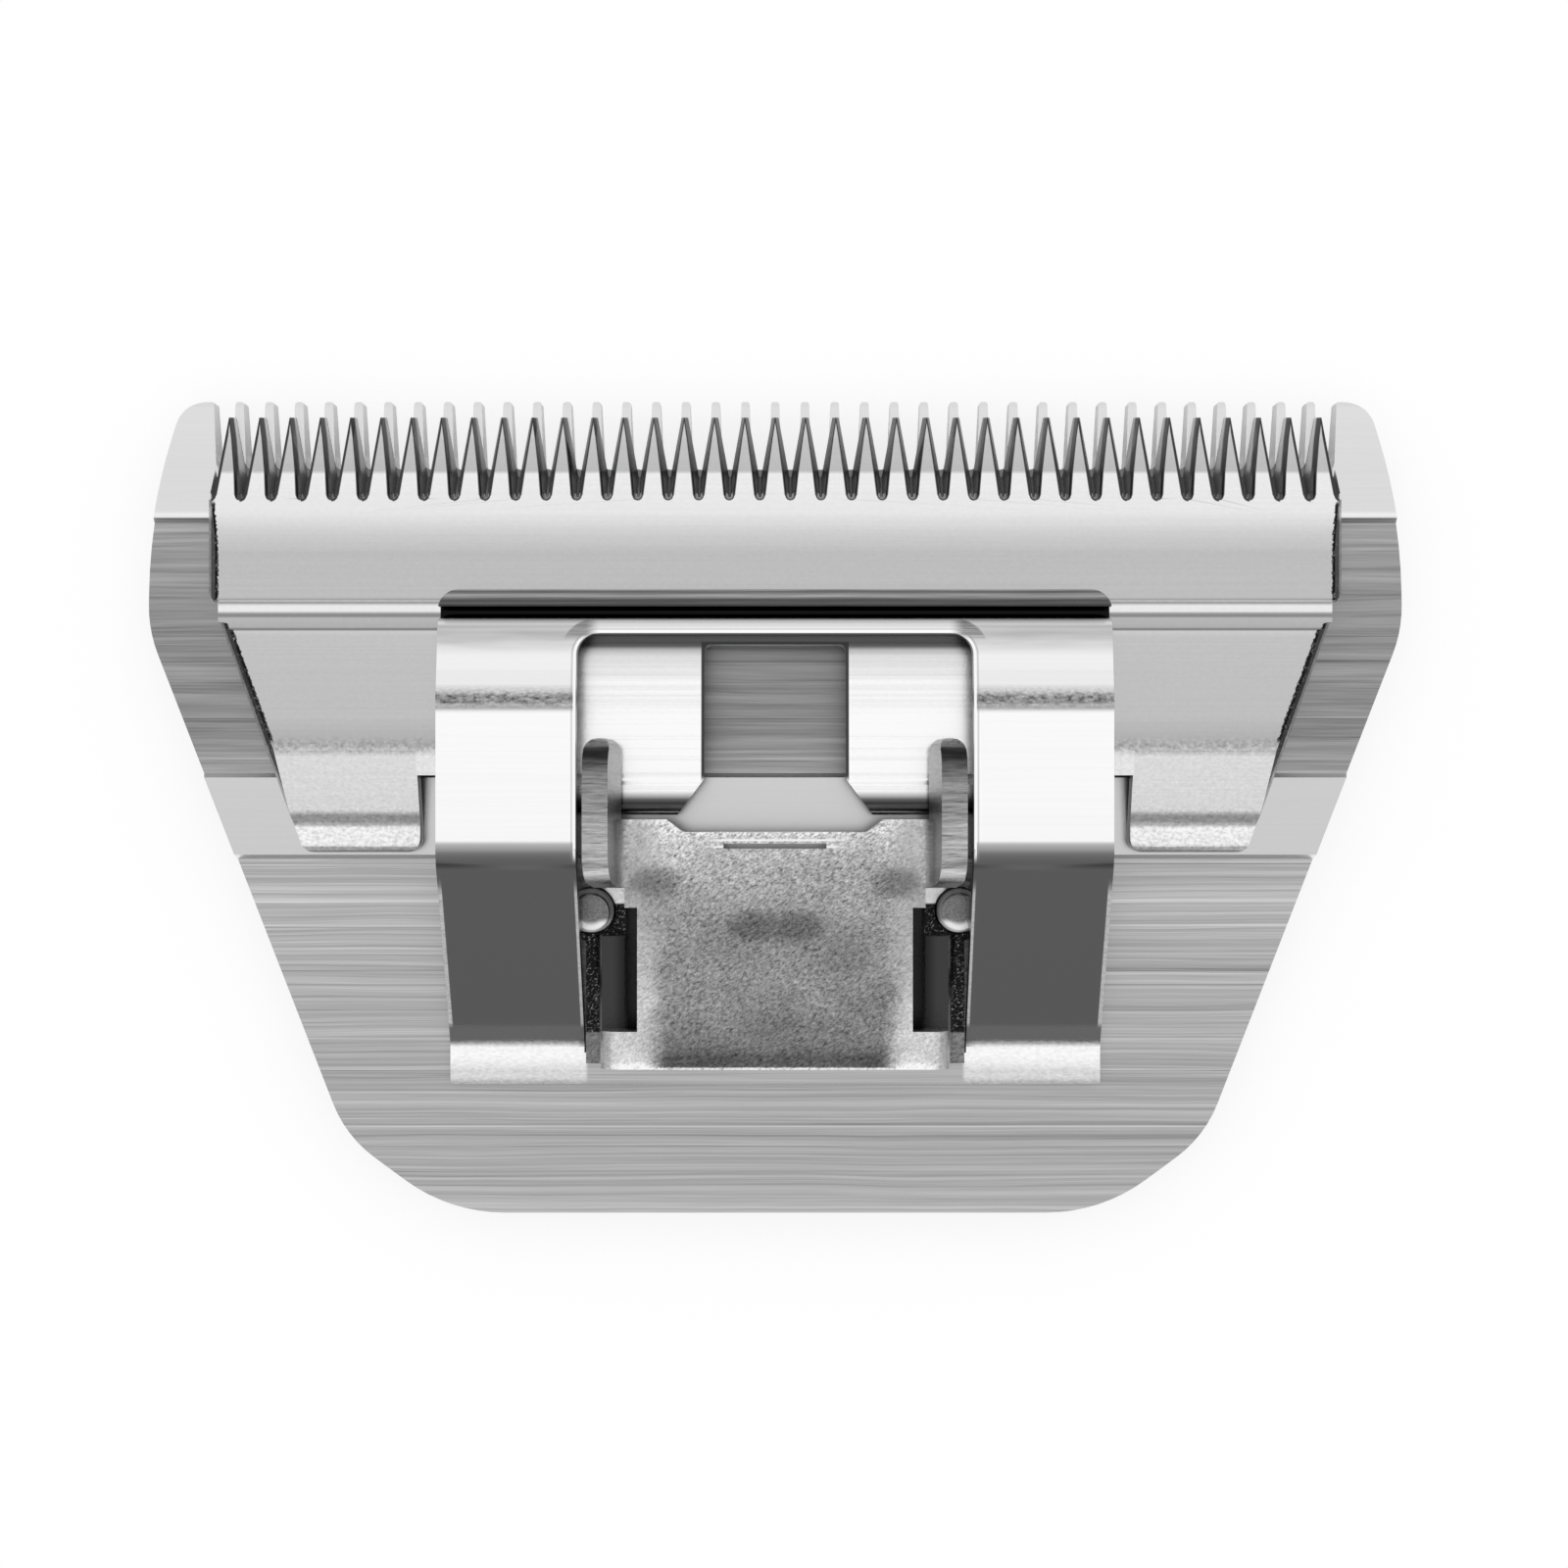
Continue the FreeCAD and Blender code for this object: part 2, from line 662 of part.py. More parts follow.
def make_guide(document, d):
    """The plastic guide: a bar with a tongue in the cutter's groove and a seat for the spring."""
    body = new_body(document, "cutter_guide")
    _, guide_head, channel_floor, half_span = spring_levels(d)
    groove_floor = cutter_levels(d)[2]
    tongue = d.groove_width / 2 - d.groove_draft - d.fit_gap
    section = new_sketch(body, "guide_section", "YZ_Plane", {"x": d.groove_y})
    seat_low = channel_floor - d.fit_gap * 2
    add_loop(section, mirrored_loop([
        (d.channel_flat / 2, seat_low), (half_span, seat_low + d.guide_seat_rise),
        (half_span, guide_head), (tongue, guide_head), (tongue, groove_floor + d.slide_gap),
    ]))
    pad(body, "guide_bar", section, d.spring_width - d.guide_inset * 2, both_ways=True)
    return body


def make_socket(document, d):
    """The socket: one sheet with a raised roof, two walls with flanges and two ears."""
    body = new_body(document, "socket")
    base = spring_levels(d)[0] + d.spring_thick
    outer = d.socket_wall_width / 2
    inner = outer - d.socket_thick
    roof_under = d.socket_top - d.socket_thick
    inside_radius = d.socket_bend_radius / 2

    section = new_sketch(body, "socket_section", "XZ_Plane", {"z": -d.socket_front_y})
    add_loop(section, mirrored_loop([
        (inner, roof_under, inside_radius), (inner, base), (d.socket_flange_width / 2, base),
        (d.socket_flange_width / 2, base + d.socket_thick),
        (outer, base + d.socket_thick, inside_radius),
        (outer, d.socket_top, d.socket_bend_radius),
    ]))
    pad(body, "socket_hat", section, d.socket_front_y - d.socket_rear_y)

    clear = new_sketch(body, "socket_clearance", "YZ_Plane")
    add_loop(clear, [
        (d.socket_wall_front_y, 0), (d.socket_wall_front_y, roof_under, inside_radius),
        (d.socket_front_y + d.reach, roof_under), (d.socket_front_y + d.reach, 0),
    ])
    cut(body, "socket_front_clearance", clear, d.cut_length, both_ways=True)

    ear_low = (outer - d.ear_thick + d.ear_inset, d.ear_under)
    ear_high = (d.ear_spread / 2 - d.ear_thick, d.ear_top)
    lean = (ear_high[0] - ear_low[0]) / (ear_high[1] - ear_low[1])
    ears = new_sketch(body, "socket_ear_section", "XZ_Plane", {"z": -d.ear_front_y})
    ear = [
        ear_low, ear_high, (d.ear_spread / 2, d.ear_top),
        (d.ear_spread / 2 - lean * (d.ear_top - d.ear_under), d.ear_under),
    ]
    add_loop(ears, ear)
    add_loop(ears, other_side(ear))
    pad(body, "socket_ears", ears, d.ear_front_y - d.ear_rear_y)

    bends = new_sketch(body, "socket_bend_section", "XZ_Plane", {"z": -d.socket_front_y})
    root_x = ear_low[0] + lean * (d.socket_top - d.ear_under)
    bend_top = d.socket_top + d.ear_bend_height
    bend_inner = d.roof_front_width / 2 - d.ear_bend_overlap
    bend = [
        (bend_inner, d.socket_top), (root_x, d.socket_top, d.socket_bend_radius),
        (ear_low[0] + lean * (bend_top - d.ear_under), bend_top),
        (outer - inside_radius, bend_top), (outer - inside_radius, d.socket_top - inside_radius),
        (bend_inner, d.socket_top - inside_radius),
    ]
    add_loop(bends, bend)
    add_loop(bends, other_side(bend))
    pad(body, "socket_bends", bends, d.socket_front_y - d.ear_rear_y)

    profile = new_sketch(body, "socket_ear_profile", "YZ_Plane")
    above = d.ear_top + d.reach
    add_loop(profile, [
        (d.socket_front_y, base), (d.ear_front_y + d.reach, base), (d.ear_front_y + d.reach, above),
        (d.ear_rear_y - d.reach, above), (d.ear_rear_y - d.reach, d.socket_top),
        (d.ear_rear_y, d.socket_top), (d.ear_rear_y + d.ear_rear_lean, d.ear_top, d.ear_nose_radius),
        (d.ear_front_y, d.ear_top, d.ear_nose_radius),
        (d.ear_front_y, d.ear_under, d.ear_chin_radius), (d.socket_front_y, d.ear_under),
    ])
    cut(body, "socket_ear_trim", profile, d.cut_length, both_ways=True)

    tips = new_sketch(body, "socket_ear_tips", "XY_Plane", {"z": d.ear_top})
    radius = d.ear_tip_radius
    for wall, away in ((d.ear_spread / 2, 1), (ear_high[0], -1)):
        add_loop(tips, [
            *flats((wall - away * radius, d.ear_front_y - radius), (away * radius, radius), 90, 3),
            (wall - away * radius, d.ear_front_y + d.reach),
            (wall + away * d.reach, d.ear_front_y + d.reach),
            (wall + away * d.reach, d.ear_front_y - radius),
        ])
    rounding = cut_along(body, "socket_ear_tip", tips, above - d.ear_under, (-lean, 0, -1))
    mirror_across(body, "socket_ear_tips_both", [rounding])

    openings = new_sketch(body, "socket_roof_cuts", "XY_Plane")
    add_loop(openings, mirrored_loop([
        (d.roof_dip_width / 2, d.socket_front_y - d.roof_dip, d.roof_dip_radius),
        (d.roof_dip_width / 2 + d.roof_dip_run, d.socket_front_y),
        (d.roof_dip_width / 2 + d.roof_dip_run, d.socket_front_y + d.reach),
    ]))
    add_loop(openings, mirrored_loop([
        (d.roof_slit_width / 2, d.roof_slit_y - d.roof_slit_gap),
        (d.roof_slit_width / 2, d.roof_slit_y),
    ]))
    cut(body, "socket_roof_openings", openings, d.cut_length, both_ways=True)

    notches = new_sketch(body, "socket_notches", "XY_Plane", {"z": above})
    beside = d.ear_spread / 2 + d.reach
    notch = [
        (d.notch_inner_width / 2, d.notch_front_y), (inner + inside_radius / 2, d.notch_front_y),
        (outer - inside_radius, d.ear_rear_y), (beside, d.ear_rear_y),
        (beside, d.notch_rear_y), (d.notch_inner_width / 2, d.notch_rear_y),
    ]
    add_loop(notches, notch)
    add_loop(notches, other_side(notch))
    cut(body, "socket_notch_cuts", notches, above - d.notch_floor)

    windows = new_sketch(body, "socket_screw_windows", "XY_Plane", {"z": above})
    clear_radius = d.screw_radius + d.screw_window_gap
    window = [
        (inner - d.screw_window_gap, d.screw_y + clear_radius), (beside, d.screw_y + clear_radius),
        (beside, d.screw_y - clear_radius),
        (inner - d.screw_window_gap, d.screw_y - clear_radius),
    ]
    add_loop(windows, window)
    add_loop(windows, other_side(window))
    cut(body, "socket_window_cuts", windows, above - base - d.socket_thick)

    lugs = new_sketch(body, "socket_lugs", "XY_Plane", {"z": base})
    holes = new_sketch(body, "socket_screw_holes", "XY_Plane", {"z": base})
    for side in (1, -1):
        add_circle(lugs, side * d.screw_spread / 2, d.screw_y, d.boss_radius)
        add_circle(holes, side * d.screw_spread / 2, d.screw_y, d.screw_radius + d.fit_gap)
    pad(body, "socket_lug_discs", lugs, d.socket_thick)
    cut(body, "socket_thread_bores", holes, d.screw_end + d.screw_window_gap - base, reverse=True)
    return body


def make_screw(document, d, name, side):
    """A flat head screw that stands in the comb from below, with a cross in its head."""
    body = new_body(document, name)
    profile = new_sketch(body, name + "_profile", "XZ_Plane")
    shoulder = d.screw_recess + d.screw_head_height
    add_loop(profile, [
        (0, d.screw_recess), (d.screw_head_radius, d.screw_recess), (d.screw_radius, shoulder),
        (d.screw_radius, d.screw_end - d.screw_end_chamfer),
        (d.screw_radius - d.screw_end_chamfer, d.screw_end), (0, d.screw_end),
    ])
    revolve(body, name + "_turned", profile)
    for turn, (long_side, short_side) in enumerate((
            (d.driver_slot_length, d.driver_slot_width),
            (d.driver_slot_width, d.driver_slot_length))):
        arm = new_sketch(body, "%s_arm_%d" % (name, turn), "XY_Plane", {"z": d.screw_recess})
        add_loop(arm, mirrored_loop([
            (long_side / 2, short_side / 2), (long_side / 2, -short_side / 2),
        ]))
        cut(body, "%s_arm_cut_%d" % (name, turn), arm, d.driver_slot_depth, reverse=True)
    bind(body, "Placement.Base.x", side * d.screw_spread / 2)
    bind(body, "Placement.Base.y", d.screw_y)
    return body


def checked(body):
    """Make sure that a sub-part is one sound solid and that each of its cuts took something away."""
    steps = [item for item in body.Group if item.isDerivedFrom("PartDesign::Feature")]
    for before, after in zip(steps, steps[1:]):
        cuts = after.TypeId in ("PartDesign::Pocket", "PartDesign::Groove")
        if cuts and after.Shape.Volume >= before.Shape.Volume:
            raise RuntimeError(after.Name + " took nothing away")
    shape = body.Shape
    if shape.isNull() or not shape.isValid() or len(shape.Solids) != 1:
        raise RuntimeError(body.Label + " isn't one sound solid")
    return shape


def main():
    """Build every sub-part, check the document and write one STEP file for each."""
    document = FreeCAD.newDocument("ClipperBlade")
    sizes = Sheet(document, SIZES)
    document.recompute()
    bodies = [make(document, sizes) for make in (
        make_comb, make_cutter, make_guide, make_spring, make_socket)]
    for name, side in (("screw_left", -1), ("screw_right", 1)):
        bodies.append(make_screw(document, sizes, name, side))
    document.recompute()
    for item in document.Objects:
        if "Invalid" in item.State or "Error" in item.State:
            raise RuntimeError(item.Name + " failed: " + ", ".join(item.State))
    os.makedirs("parts", exist_ok=True)
    for body in bodies:
        shape = checked(body)
        shape.exportStep("parts/" + body.Label + ".step")
        box = shape.BoundBox
        print("%-16s %9.2f mm3  solids %d  X %.2f %.2f  Y %.2f %.2f  Z %.2f %.2f" % (
            body.Label, shape.Volume, len(shape.Solids), box.XMin, box.XMax, box.YMin, box.YMax,
            box.ZMin, box.ZMax))


if __name__ == "__main__":
    main()
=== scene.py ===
"""Studio scene of a wide clipper blade set: metal finishes, pale floor, soft light and camera."""

import logging
import math
from dataclasses import dataclass
from enum import Enum
from typing import Any, Mapping, Optional, Sequence, Union

import bmesh
import bpy
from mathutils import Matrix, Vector

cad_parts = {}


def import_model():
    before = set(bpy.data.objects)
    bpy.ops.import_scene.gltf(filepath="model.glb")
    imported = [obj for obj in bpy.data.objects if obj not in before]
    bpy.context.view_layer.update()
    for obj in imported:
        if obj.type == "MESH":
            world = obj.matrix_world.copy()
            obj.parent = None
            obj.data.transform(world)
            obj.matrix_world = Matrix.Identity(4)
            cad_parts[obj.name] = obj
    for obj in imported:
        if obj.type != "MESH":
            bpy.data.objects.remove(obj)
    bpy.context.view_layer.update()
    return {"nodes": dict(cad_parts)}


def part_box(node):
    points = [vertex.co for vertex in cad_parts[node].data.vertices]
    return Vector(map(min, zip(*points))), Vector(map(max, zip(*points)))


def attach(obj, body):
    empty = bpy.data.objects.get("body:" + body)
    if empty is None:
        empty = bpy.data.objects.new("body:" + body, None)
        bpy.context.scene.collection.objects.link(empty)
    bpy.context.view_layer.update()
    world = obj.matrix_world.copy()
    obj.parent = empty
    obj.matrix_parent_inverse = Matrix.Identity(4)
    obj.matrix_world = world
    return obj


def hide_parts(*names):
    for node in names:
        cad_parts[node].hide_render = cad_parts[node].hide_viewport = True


LOG = logging.getLogger("clipper_blade")
MM = 0.001

Number = Union[int, float]
Feed = Union["Signal", Number, Sequence[float]]
Feeds = Mapping[Union[str, int], Feed]
Point = tuple["Signal", "Signal", "Signal"]
Span = tuple[float, float]
Stops = Sequence[tuple[float, float]]


class Blend(Enum):
    """How a zone passes into the next one."""

    SOFT = "SMOOTHSTEP"
    EVEN = "LINEAR"


@dataclass(frozen=True)
class Grain:
    """A noise pattern.

    Attributes:
        lengths: How long the marks are along each axis, in millimetres.
        detail: How many finer layers there are.
        rough: How strong the finer layers are.
        seed: Picks another pattern.
    """

    lengths: tuple[float, float, float]
    detail: float = 3.0
    rough: float = 0.55
    seed: float = 0.0


class Signal:
    """One socket of a shader graph, used in Python expressions as a number."""

    def __init__(self, graph: "Graph", socket: bpy.types.NodeSocket) -> None:
        """Keeps the graph and the socket that carries the value."""
        self.graph = graph
        self.socket = socket

    def _math(self, operation: str, *terms: Feed) -> "Signal":
        """Adds one Math node.

        Args:
            operation: The node's operation.
            terms: Its inputs, in order.

        Returns:
            The result as a signal.
        """
        return self.graph.add("ShaderNodeMath", {"operation": operation}, dict(enumerate(terms)))

    def __add__(self, other: Feed) -> "Signal":
        """Sum."""
        return self._math("ADD", self, other)

    def __radd__(self, other: Feed) -> "Signal":
        """Reflected sum."""
        return self._math("ADD", other, self)

    def __sub__(self, other: Feed) -> "Signal":
        """Difference."""
        return self._math("SUBTRACT", self, other)

    def __rsub__(self, other: Feed) -> "Signal":
        """Reflected difference."""
        return self._math("SUBTRACT", other, self)

    def __mul__(self, other: Feed) -> "Signal":
        """Product."""
        return self._math("MULTIPLY", self, other)

    def __rmul__(self, other: Feed) -> "Signal":
        """Reflected product."""
        return self._math("MULTIPLY", other, self)

    def __truediv__(self, other: Feed) -> "Signal":
        """Quotient."""
        return self._math("DIVIDE", self, other)

    def __neg__(self) -> "Signal":
        """Opposite."""
        return self._math("MULTIPLY", self, -1.0)

    def __abs__(self) -> "Signal":
        """Size without sign."""
        return self._math("ABSOLUTE", self)

    def __pow__(self, other: Feed) -> "Signal":
        """Power."""
        return self._math("POWER", self, other)

    def __mod__(self, other: Feed) -> "Signal":
        """Rest of a division, never negative."""
        return self._math("FLOORED_MODULO", self, other)

    def over(self, low: Number, high: Number, blend: Blend = Blend.SOFT) -> "Signal":
        """Rises from 0 at low to 1 at high.

        Args:
            low: Where the rise starts.
            high: Where it ends. It may be below low, and then the signal falls.
            blend: The shape of the rise.

        Returns:
            The rise, between 0 and 1.
        """
        if high < low:
            return 1.0 - self.over(high, low, blend)
        return self.graph.add(
            "ShaderNodeMapRange",
            {"interpolation_type": blend.value, "clamp": True},
            {"Value": self, "From Min": low, "From Max": high, "To Min": 0.0, "To Max": 1.0},
        )

    def within(self, low: Number, high: Number, soft: Number) -> "Signal":
        """Is 1 between two values, and falls to 0 outside over a soft edge."""
        return self.over(low - soft, low + soft) * self.over(high + soft, high - soft)

    def above(self, limit: Number, soft: Number) -> "Signal":
        """Is 1 above a limit and 0 below it, over a soft edge."""
        return self.over(limit - soft, limit + soft)

    def below(self, limit: Number, soft: Number) -> "Signal":
        """Is 1 below a limit and 0 above it, over a soft edge."""
        return self.over(limit + soft, limit - soft)

    def swing(self, strength: Feed) -> "Signal":
        """Swings around 0 by a strength, for a noise that lies around one half."""
        return (self - 0.5) * strength

    def at_least(self, other: Feed) -> "Signal":
        """The larger of this value and another one."""
        return self._math("MAXIMUM", self, other)

    def at_most(self, other: Feed) -> "Signal":
        """The smaller of this value and another one."""
        return self._math("MINIMUM", self, other)

    def toward(self, other: Feed, share: Feed) -> "Signal":
        """Goes from this value to another one by a share between 0 and 1."""
        return self.graph.add(
            "ShaderNodeMix", {"data_type": "FLOAT"}, {"Factor": share, 2: self, 3: other}
        )


class Graph:
    """Writes one node tree."""

    def __init__(self, tree: bpy.types.NodeTree) -> None:
        """Clears the tree."""
        self.tree = tree
        tree.nodes.clear()

    def add(
        self,
        kind: str,
        settings: Optional[Mapping[str, Any]] = None,
        feeds: Optional[Feeds] = None,
        output: Union[str, int] = 0,
    ) -> Signal:
        """Adds one node.

        Args:
            kind: The node's type.
            settings: What is set on the node itself, such as an operation or a ramp's stops.
            feeds: The value or the signal of each input socket, by name or number.
            output: The output that is wanted.

        Returns:
            That output as a signal.
        """
        node = self.tree.nodes.new(kind)
        for name, setting in (settings or {}).items():
            if name == "stops":
                self._set_stops(node, setting)
            else:
                setattr(node, name, setting)
        for key, value in (feeds or {}).items():
            self.feed(node.inputs[key], value)
        return Signal(self, node.outputs[output]) if node.outputs else Signal(self, node.inputs[0])

    @staticmethod
    def _set_stops(node: bpy.types.Node, stops: Stops) -> None:
        """Gives a color ramp its gray stops.

        Args:
            node: The ramp.
            stops: Place and tone of each stop, in order.
        """
        elements = node.color_ramp.elements
        while len(elements) > 1:
            elements.remove(elements[-1])
        for index, (place, tone) in enumerate(stops):
            element = elements[0] if index == 0 else elements.new(place)
            element.position = place
            element.color = (tone, tone, tone, 1.0)

    def feed(self, socket: bpy.types.NodeSocket, value: Feed) -> None:
        """Links a signal to a socket, or sets the socket's own value."""
        if isinstance(value, Signal):
            self.tree.links.new(value.socket, socket)
        else:
            socket.default_value = value

    def place(self) -> Point:
        """Gives the object's own coordinates in millimetres."""
        vector = self.add("ShaderNodeTexCoord", output="Object")
        scaled = self.add(
            "ShaderNodeVectorMath", {"operation": "SCALE"}, {0: vector, "Scale": 1.0 / MM}
        )
        return self.split(scaled)

    def facing(self) -> Point:
        """Gives the surface normal in the object's own axes."""
        normal = self.add("ShaderNodeNewGeometry", output="Normal")
        turned = self.add(
            "ShaderNodeVectorTransform",
            {"vector_type": "NORMAL", "convert_from": "WORLD", "convert_to": "OBJECT"},
            {0: normal},
        )
        return self.split(turned)

    def split(self, vector: Signal) -> Point:
        """Splits a vector into three numbers."""
        node = self.add("ShaderNodeSeparateXYZ", feeds={0: vector}).socket.node
        return tuple(Signal(self, node.outputs[axis]) for axis in "XYZ")

    def noise(self, point: Sequence[Feed], grain: Grain) -> Signal:
        """Gives a noise around one half.

        Args:
            point: X, Y and Z in millimetres.
            grain: The pattern.

        Returns:
            The noise, between 0 and 1.
        """
        scaled = [item / length for item, length in zip(point, grain.lengths)]
        vector = self.add("ShaderNodeCombineXYZ", feeds=dict(enumerate(scaled)))
        feeds: Feeds = {
            "Vector": vector,
            "W": grain.seed,
            "Scale": 1.0,
            "Detail": grain.detail,
            "Roughness": grain.rough,
        }
        return self.add("ShaderNodeTexNoise", {"noise_dimensions": "4D"}, feeds)

    def profile(self, along: Signal, stops: Stops) -> Signal:
        """Gives a tone that changes along one axis.

        Args:
            along: The coordinate.
            stops: Coordinate and tone of each stop, in rising order.

        Returns:
            The tone.
        """
        low, high = stops[0][0], stops[-1][0]
        share = along.over(low, high, Blend.EVEN)
        placed = [((at - low) / (high - low), tone) for at, tone in stops]
        return self.add("ShaderNodeValToRGB", {"stops": placed}, {"Fac": share})

    def gray(self, value: Signal) -> Signal:
        """Makes a neutral color of a number."""
        return self.add("ShaderNodeCombineColor", feeds={0: value, 1: value, 2: value})

    def bump(self, height: Signal, depth: float, strength: float = 1.0) -> Signal:
        """Turns a height between 0 and 1 into a normal.

        Args:
            height: The height.
            depth: What a height of 1 is, in millimetres.
            strength: How much of it shows.

        Returns:
            The normal.
        """
        return self.add(
            "ShaderNodeBump", feeds={"Strength": strength, "Distance": depth * MM, "Height": height}
        )


@dataclass(frozen=True)
class Finish:
    """A finish that makes one material."""

    name: str

    def make(self) -> bpy.types.Material:
        """Makes the material."""
        material = bpy.data.materials.new(self.name)
        material.use_nodes = True
        graph = Graph(material.node_tree)
        surface = self.shade(graph)
        graph.add("ShaderNodeOutputMaterial", feeds={"Surface": surface})
        return material

    def shade(self, graph: Graph) -> Signal:
        """Writes the nodes and gives the shader."""
        raise NotImplementedError

    @staticmethod
    def metal(
        graph: Graph, tone: Signal, roughness: Signal, normal: Signal, bare: Signal
    ) -> Signal:
        """Adds the shader of a metal.

        Args:
            graph: The tree.
            tone: How much light it throws back.
            roughness: How dull it is.
            normal: The fine relief.
            bare: How much of it mirrors like bare metal. The rest is matt, which the finishes pair
                with a high tone to make painted highlights and paler walls.

        Returns:
            The shader.
        """
        feeds: Feeds = {
            "Base Color": graph.gray(tone),
            "Metallic": bare,
            "Roughness": roughness,
            "Normal": normal,
        }
        return graph.add("ShaderNodeBsdfPrincipled", feeds=feeds)


@dataclass(frozen=True)
class GroundSteel(Finish):
    """The comb: lapped lands that the cutter runs on, and brushed floors between them."""

    # The land's bright stops near 14.4 are a painted highlight along the step, and the floor's dark
    # stop at 14.3 is a painted shade line below it.
    land_tones: Stops = (
        (-2.4, 0.60), (1.6, 0.62), (14.3, 0.71), (14.36, 0.88), (14.52, 0.86), (14.6, 0.72),
        (17.0, 0.72), (20.0, 0.75),
    )
    floor_tones: Stops = (
        (-20.0, 0.47), (-18.0, 0.43), (-12.0, 0.43), (-6.0, 0.45), (-2.9, 0.50), (-2.3, 0.44),
        (1.5, 0.36), (4.0, 0.26), (6.5, 0.30), (9.0, 0.28), (11.5, 0.32), (14.0, 0.38),
        (14.1, 0.44), (14.24, 0.46), (14.3, 0.24),
    )
    land_height: float = 2.9
    land_start: float = 14.3
    step_y: float = 14.17
    step_half: float = 0.14
    gap_root: float = 16.6
    under_cutter_shade_reach: float = 0.35
    under_cutter_shade_half: float = 27.4
    socket_half: float = 7.2
    socket_y: Span = (-12.2, -3.1)
    edge_highlight_tone: float = 0.9
    under_cutter_shade_tone: float = 0.16
    under_socket_shade_tone: float = 0.02
    side_tone: float = 0.4
    tooth_wall_light_tone: float = 0.94
    wave: Grain = Grain((9.0, 2.2, 2.0), 1.0, 0.5, 8.2)
    bands: Grain = Grain((420.0, 0.50, 3.0), 3.0, 0.66, 1.3)
    short: Grain = Grain((7.5, 0.17, 0.5), 3.0, 0.6, 4.1)
    long: Grain = Grain((60.0, 0.13, 0.5), 3.0, 0.6, 4.1)
    hairs: Grain = Grain((5.0, 0.06, 0.4), 2.0, 0.6, 6.6)
    scratches: Grain = Grain((260.0, 0.16, 2.0), 1.0, 0.5, 9.4)
    grooves: Grain = Grain((190.0, 0.14, 2.0), 1.0, 0.5, 12.1)
    relief_depth: float = 0.006

    def shade(self, graph: Graph) -> Signal:
        """Writes the nodes and gives the shader."""
        x, y, z = point = graph.place()
        _, _, up = graph.facing()
        level = y + graph.noise(point, self.wave).swing(0.4)
        along = (x, level, z)
        long = graph.noise(along, self.long)
        hairs = graph.noise(along, self.hairs)
        strokes = long.toward(graph.noise(along, self.short), y.over(0.0, 1.0))
        bright = graph.noise(point, self.scratches).over(0.62, 0.73)
        dark = graph.noise(point, self.grooves).over(0.38, 0.28)
        marks = 1.0 + graph.noise(along, self.bands).swing(1.0)
        marks = marks + strokes.swing(1.15) + hairs.swing(0.45)
        marks = (marks + bright * 0.34 - dark * 0.3).at_least(0.3)
        brushed = (graph.profile(y, self.floor_tones) * marks).at_most(0.9)
        smooth = graph.profile(y, self.land_tones) * (0.98 + long.swing(0.07))
        land = z.above(self.land_height, 0.04) * up.over(0.8, 0.95)
        tilted = up.within(0.4, 0.93, 0.05)
        step = y.within(self.step_y - self.step_half, self.step_y + self.step_half, 0.02) * tilted
        # Painted shade on the land under the cutter, where the land shows between the cutter's
        # teeth.
        under_cutter_shade_end = self.gap_root + self.under_cutter_shade_reach
        under_cutter_shade = abs(x).below(self.under_cutter_shade_half, 0.1) * y.within(self.land_start, under_cutter_shade_end, 0.1)
        # Painted shade on the comb's floor inside the socket.
        under_socket_shade = abs(x).below(self.socket_half, 0.1) * y.within(*self.socket_y, 0.1)
        # Sloped faces, the rounded edges among them, get a painted highlight.
        tone = brushed.toward(smooth, land).toward(self.edge_highlight_tone, tilted * (1.0 - step))
        tone = tone.toward(self.under_cutter_shade_tone, under_cutter_shade).toward(self.under_socket_shade_tone, under_socket_shade)
        # Near the tips the walls between the teeth are painted pale and made matt, as painted
        # light.
        toothed = y.over(self.gap_root + 0.4, self.gap_root + 0.9)
        wall = up.over(0.4, 0.2) * up.over(-0.6, -0.3)
        side = (self.side_tone + hairs.swing(0.3)).toward(self.tooth_wall_light_tone, toothed)
        tone = tone.toward(side, wall)
        roughness = (0.3 + strokes * 0.16).toward(0.22, land)
        relief = (strokes * 0.7 + hairs * 0.3) * (1.0 - land)
        bare = 1.0 - (wall * toothed * 0.9).at_least(step * 0.8)
        return self.metal(graph, tone, roughness, graph.bump(relief, self.relief_depth), bare)


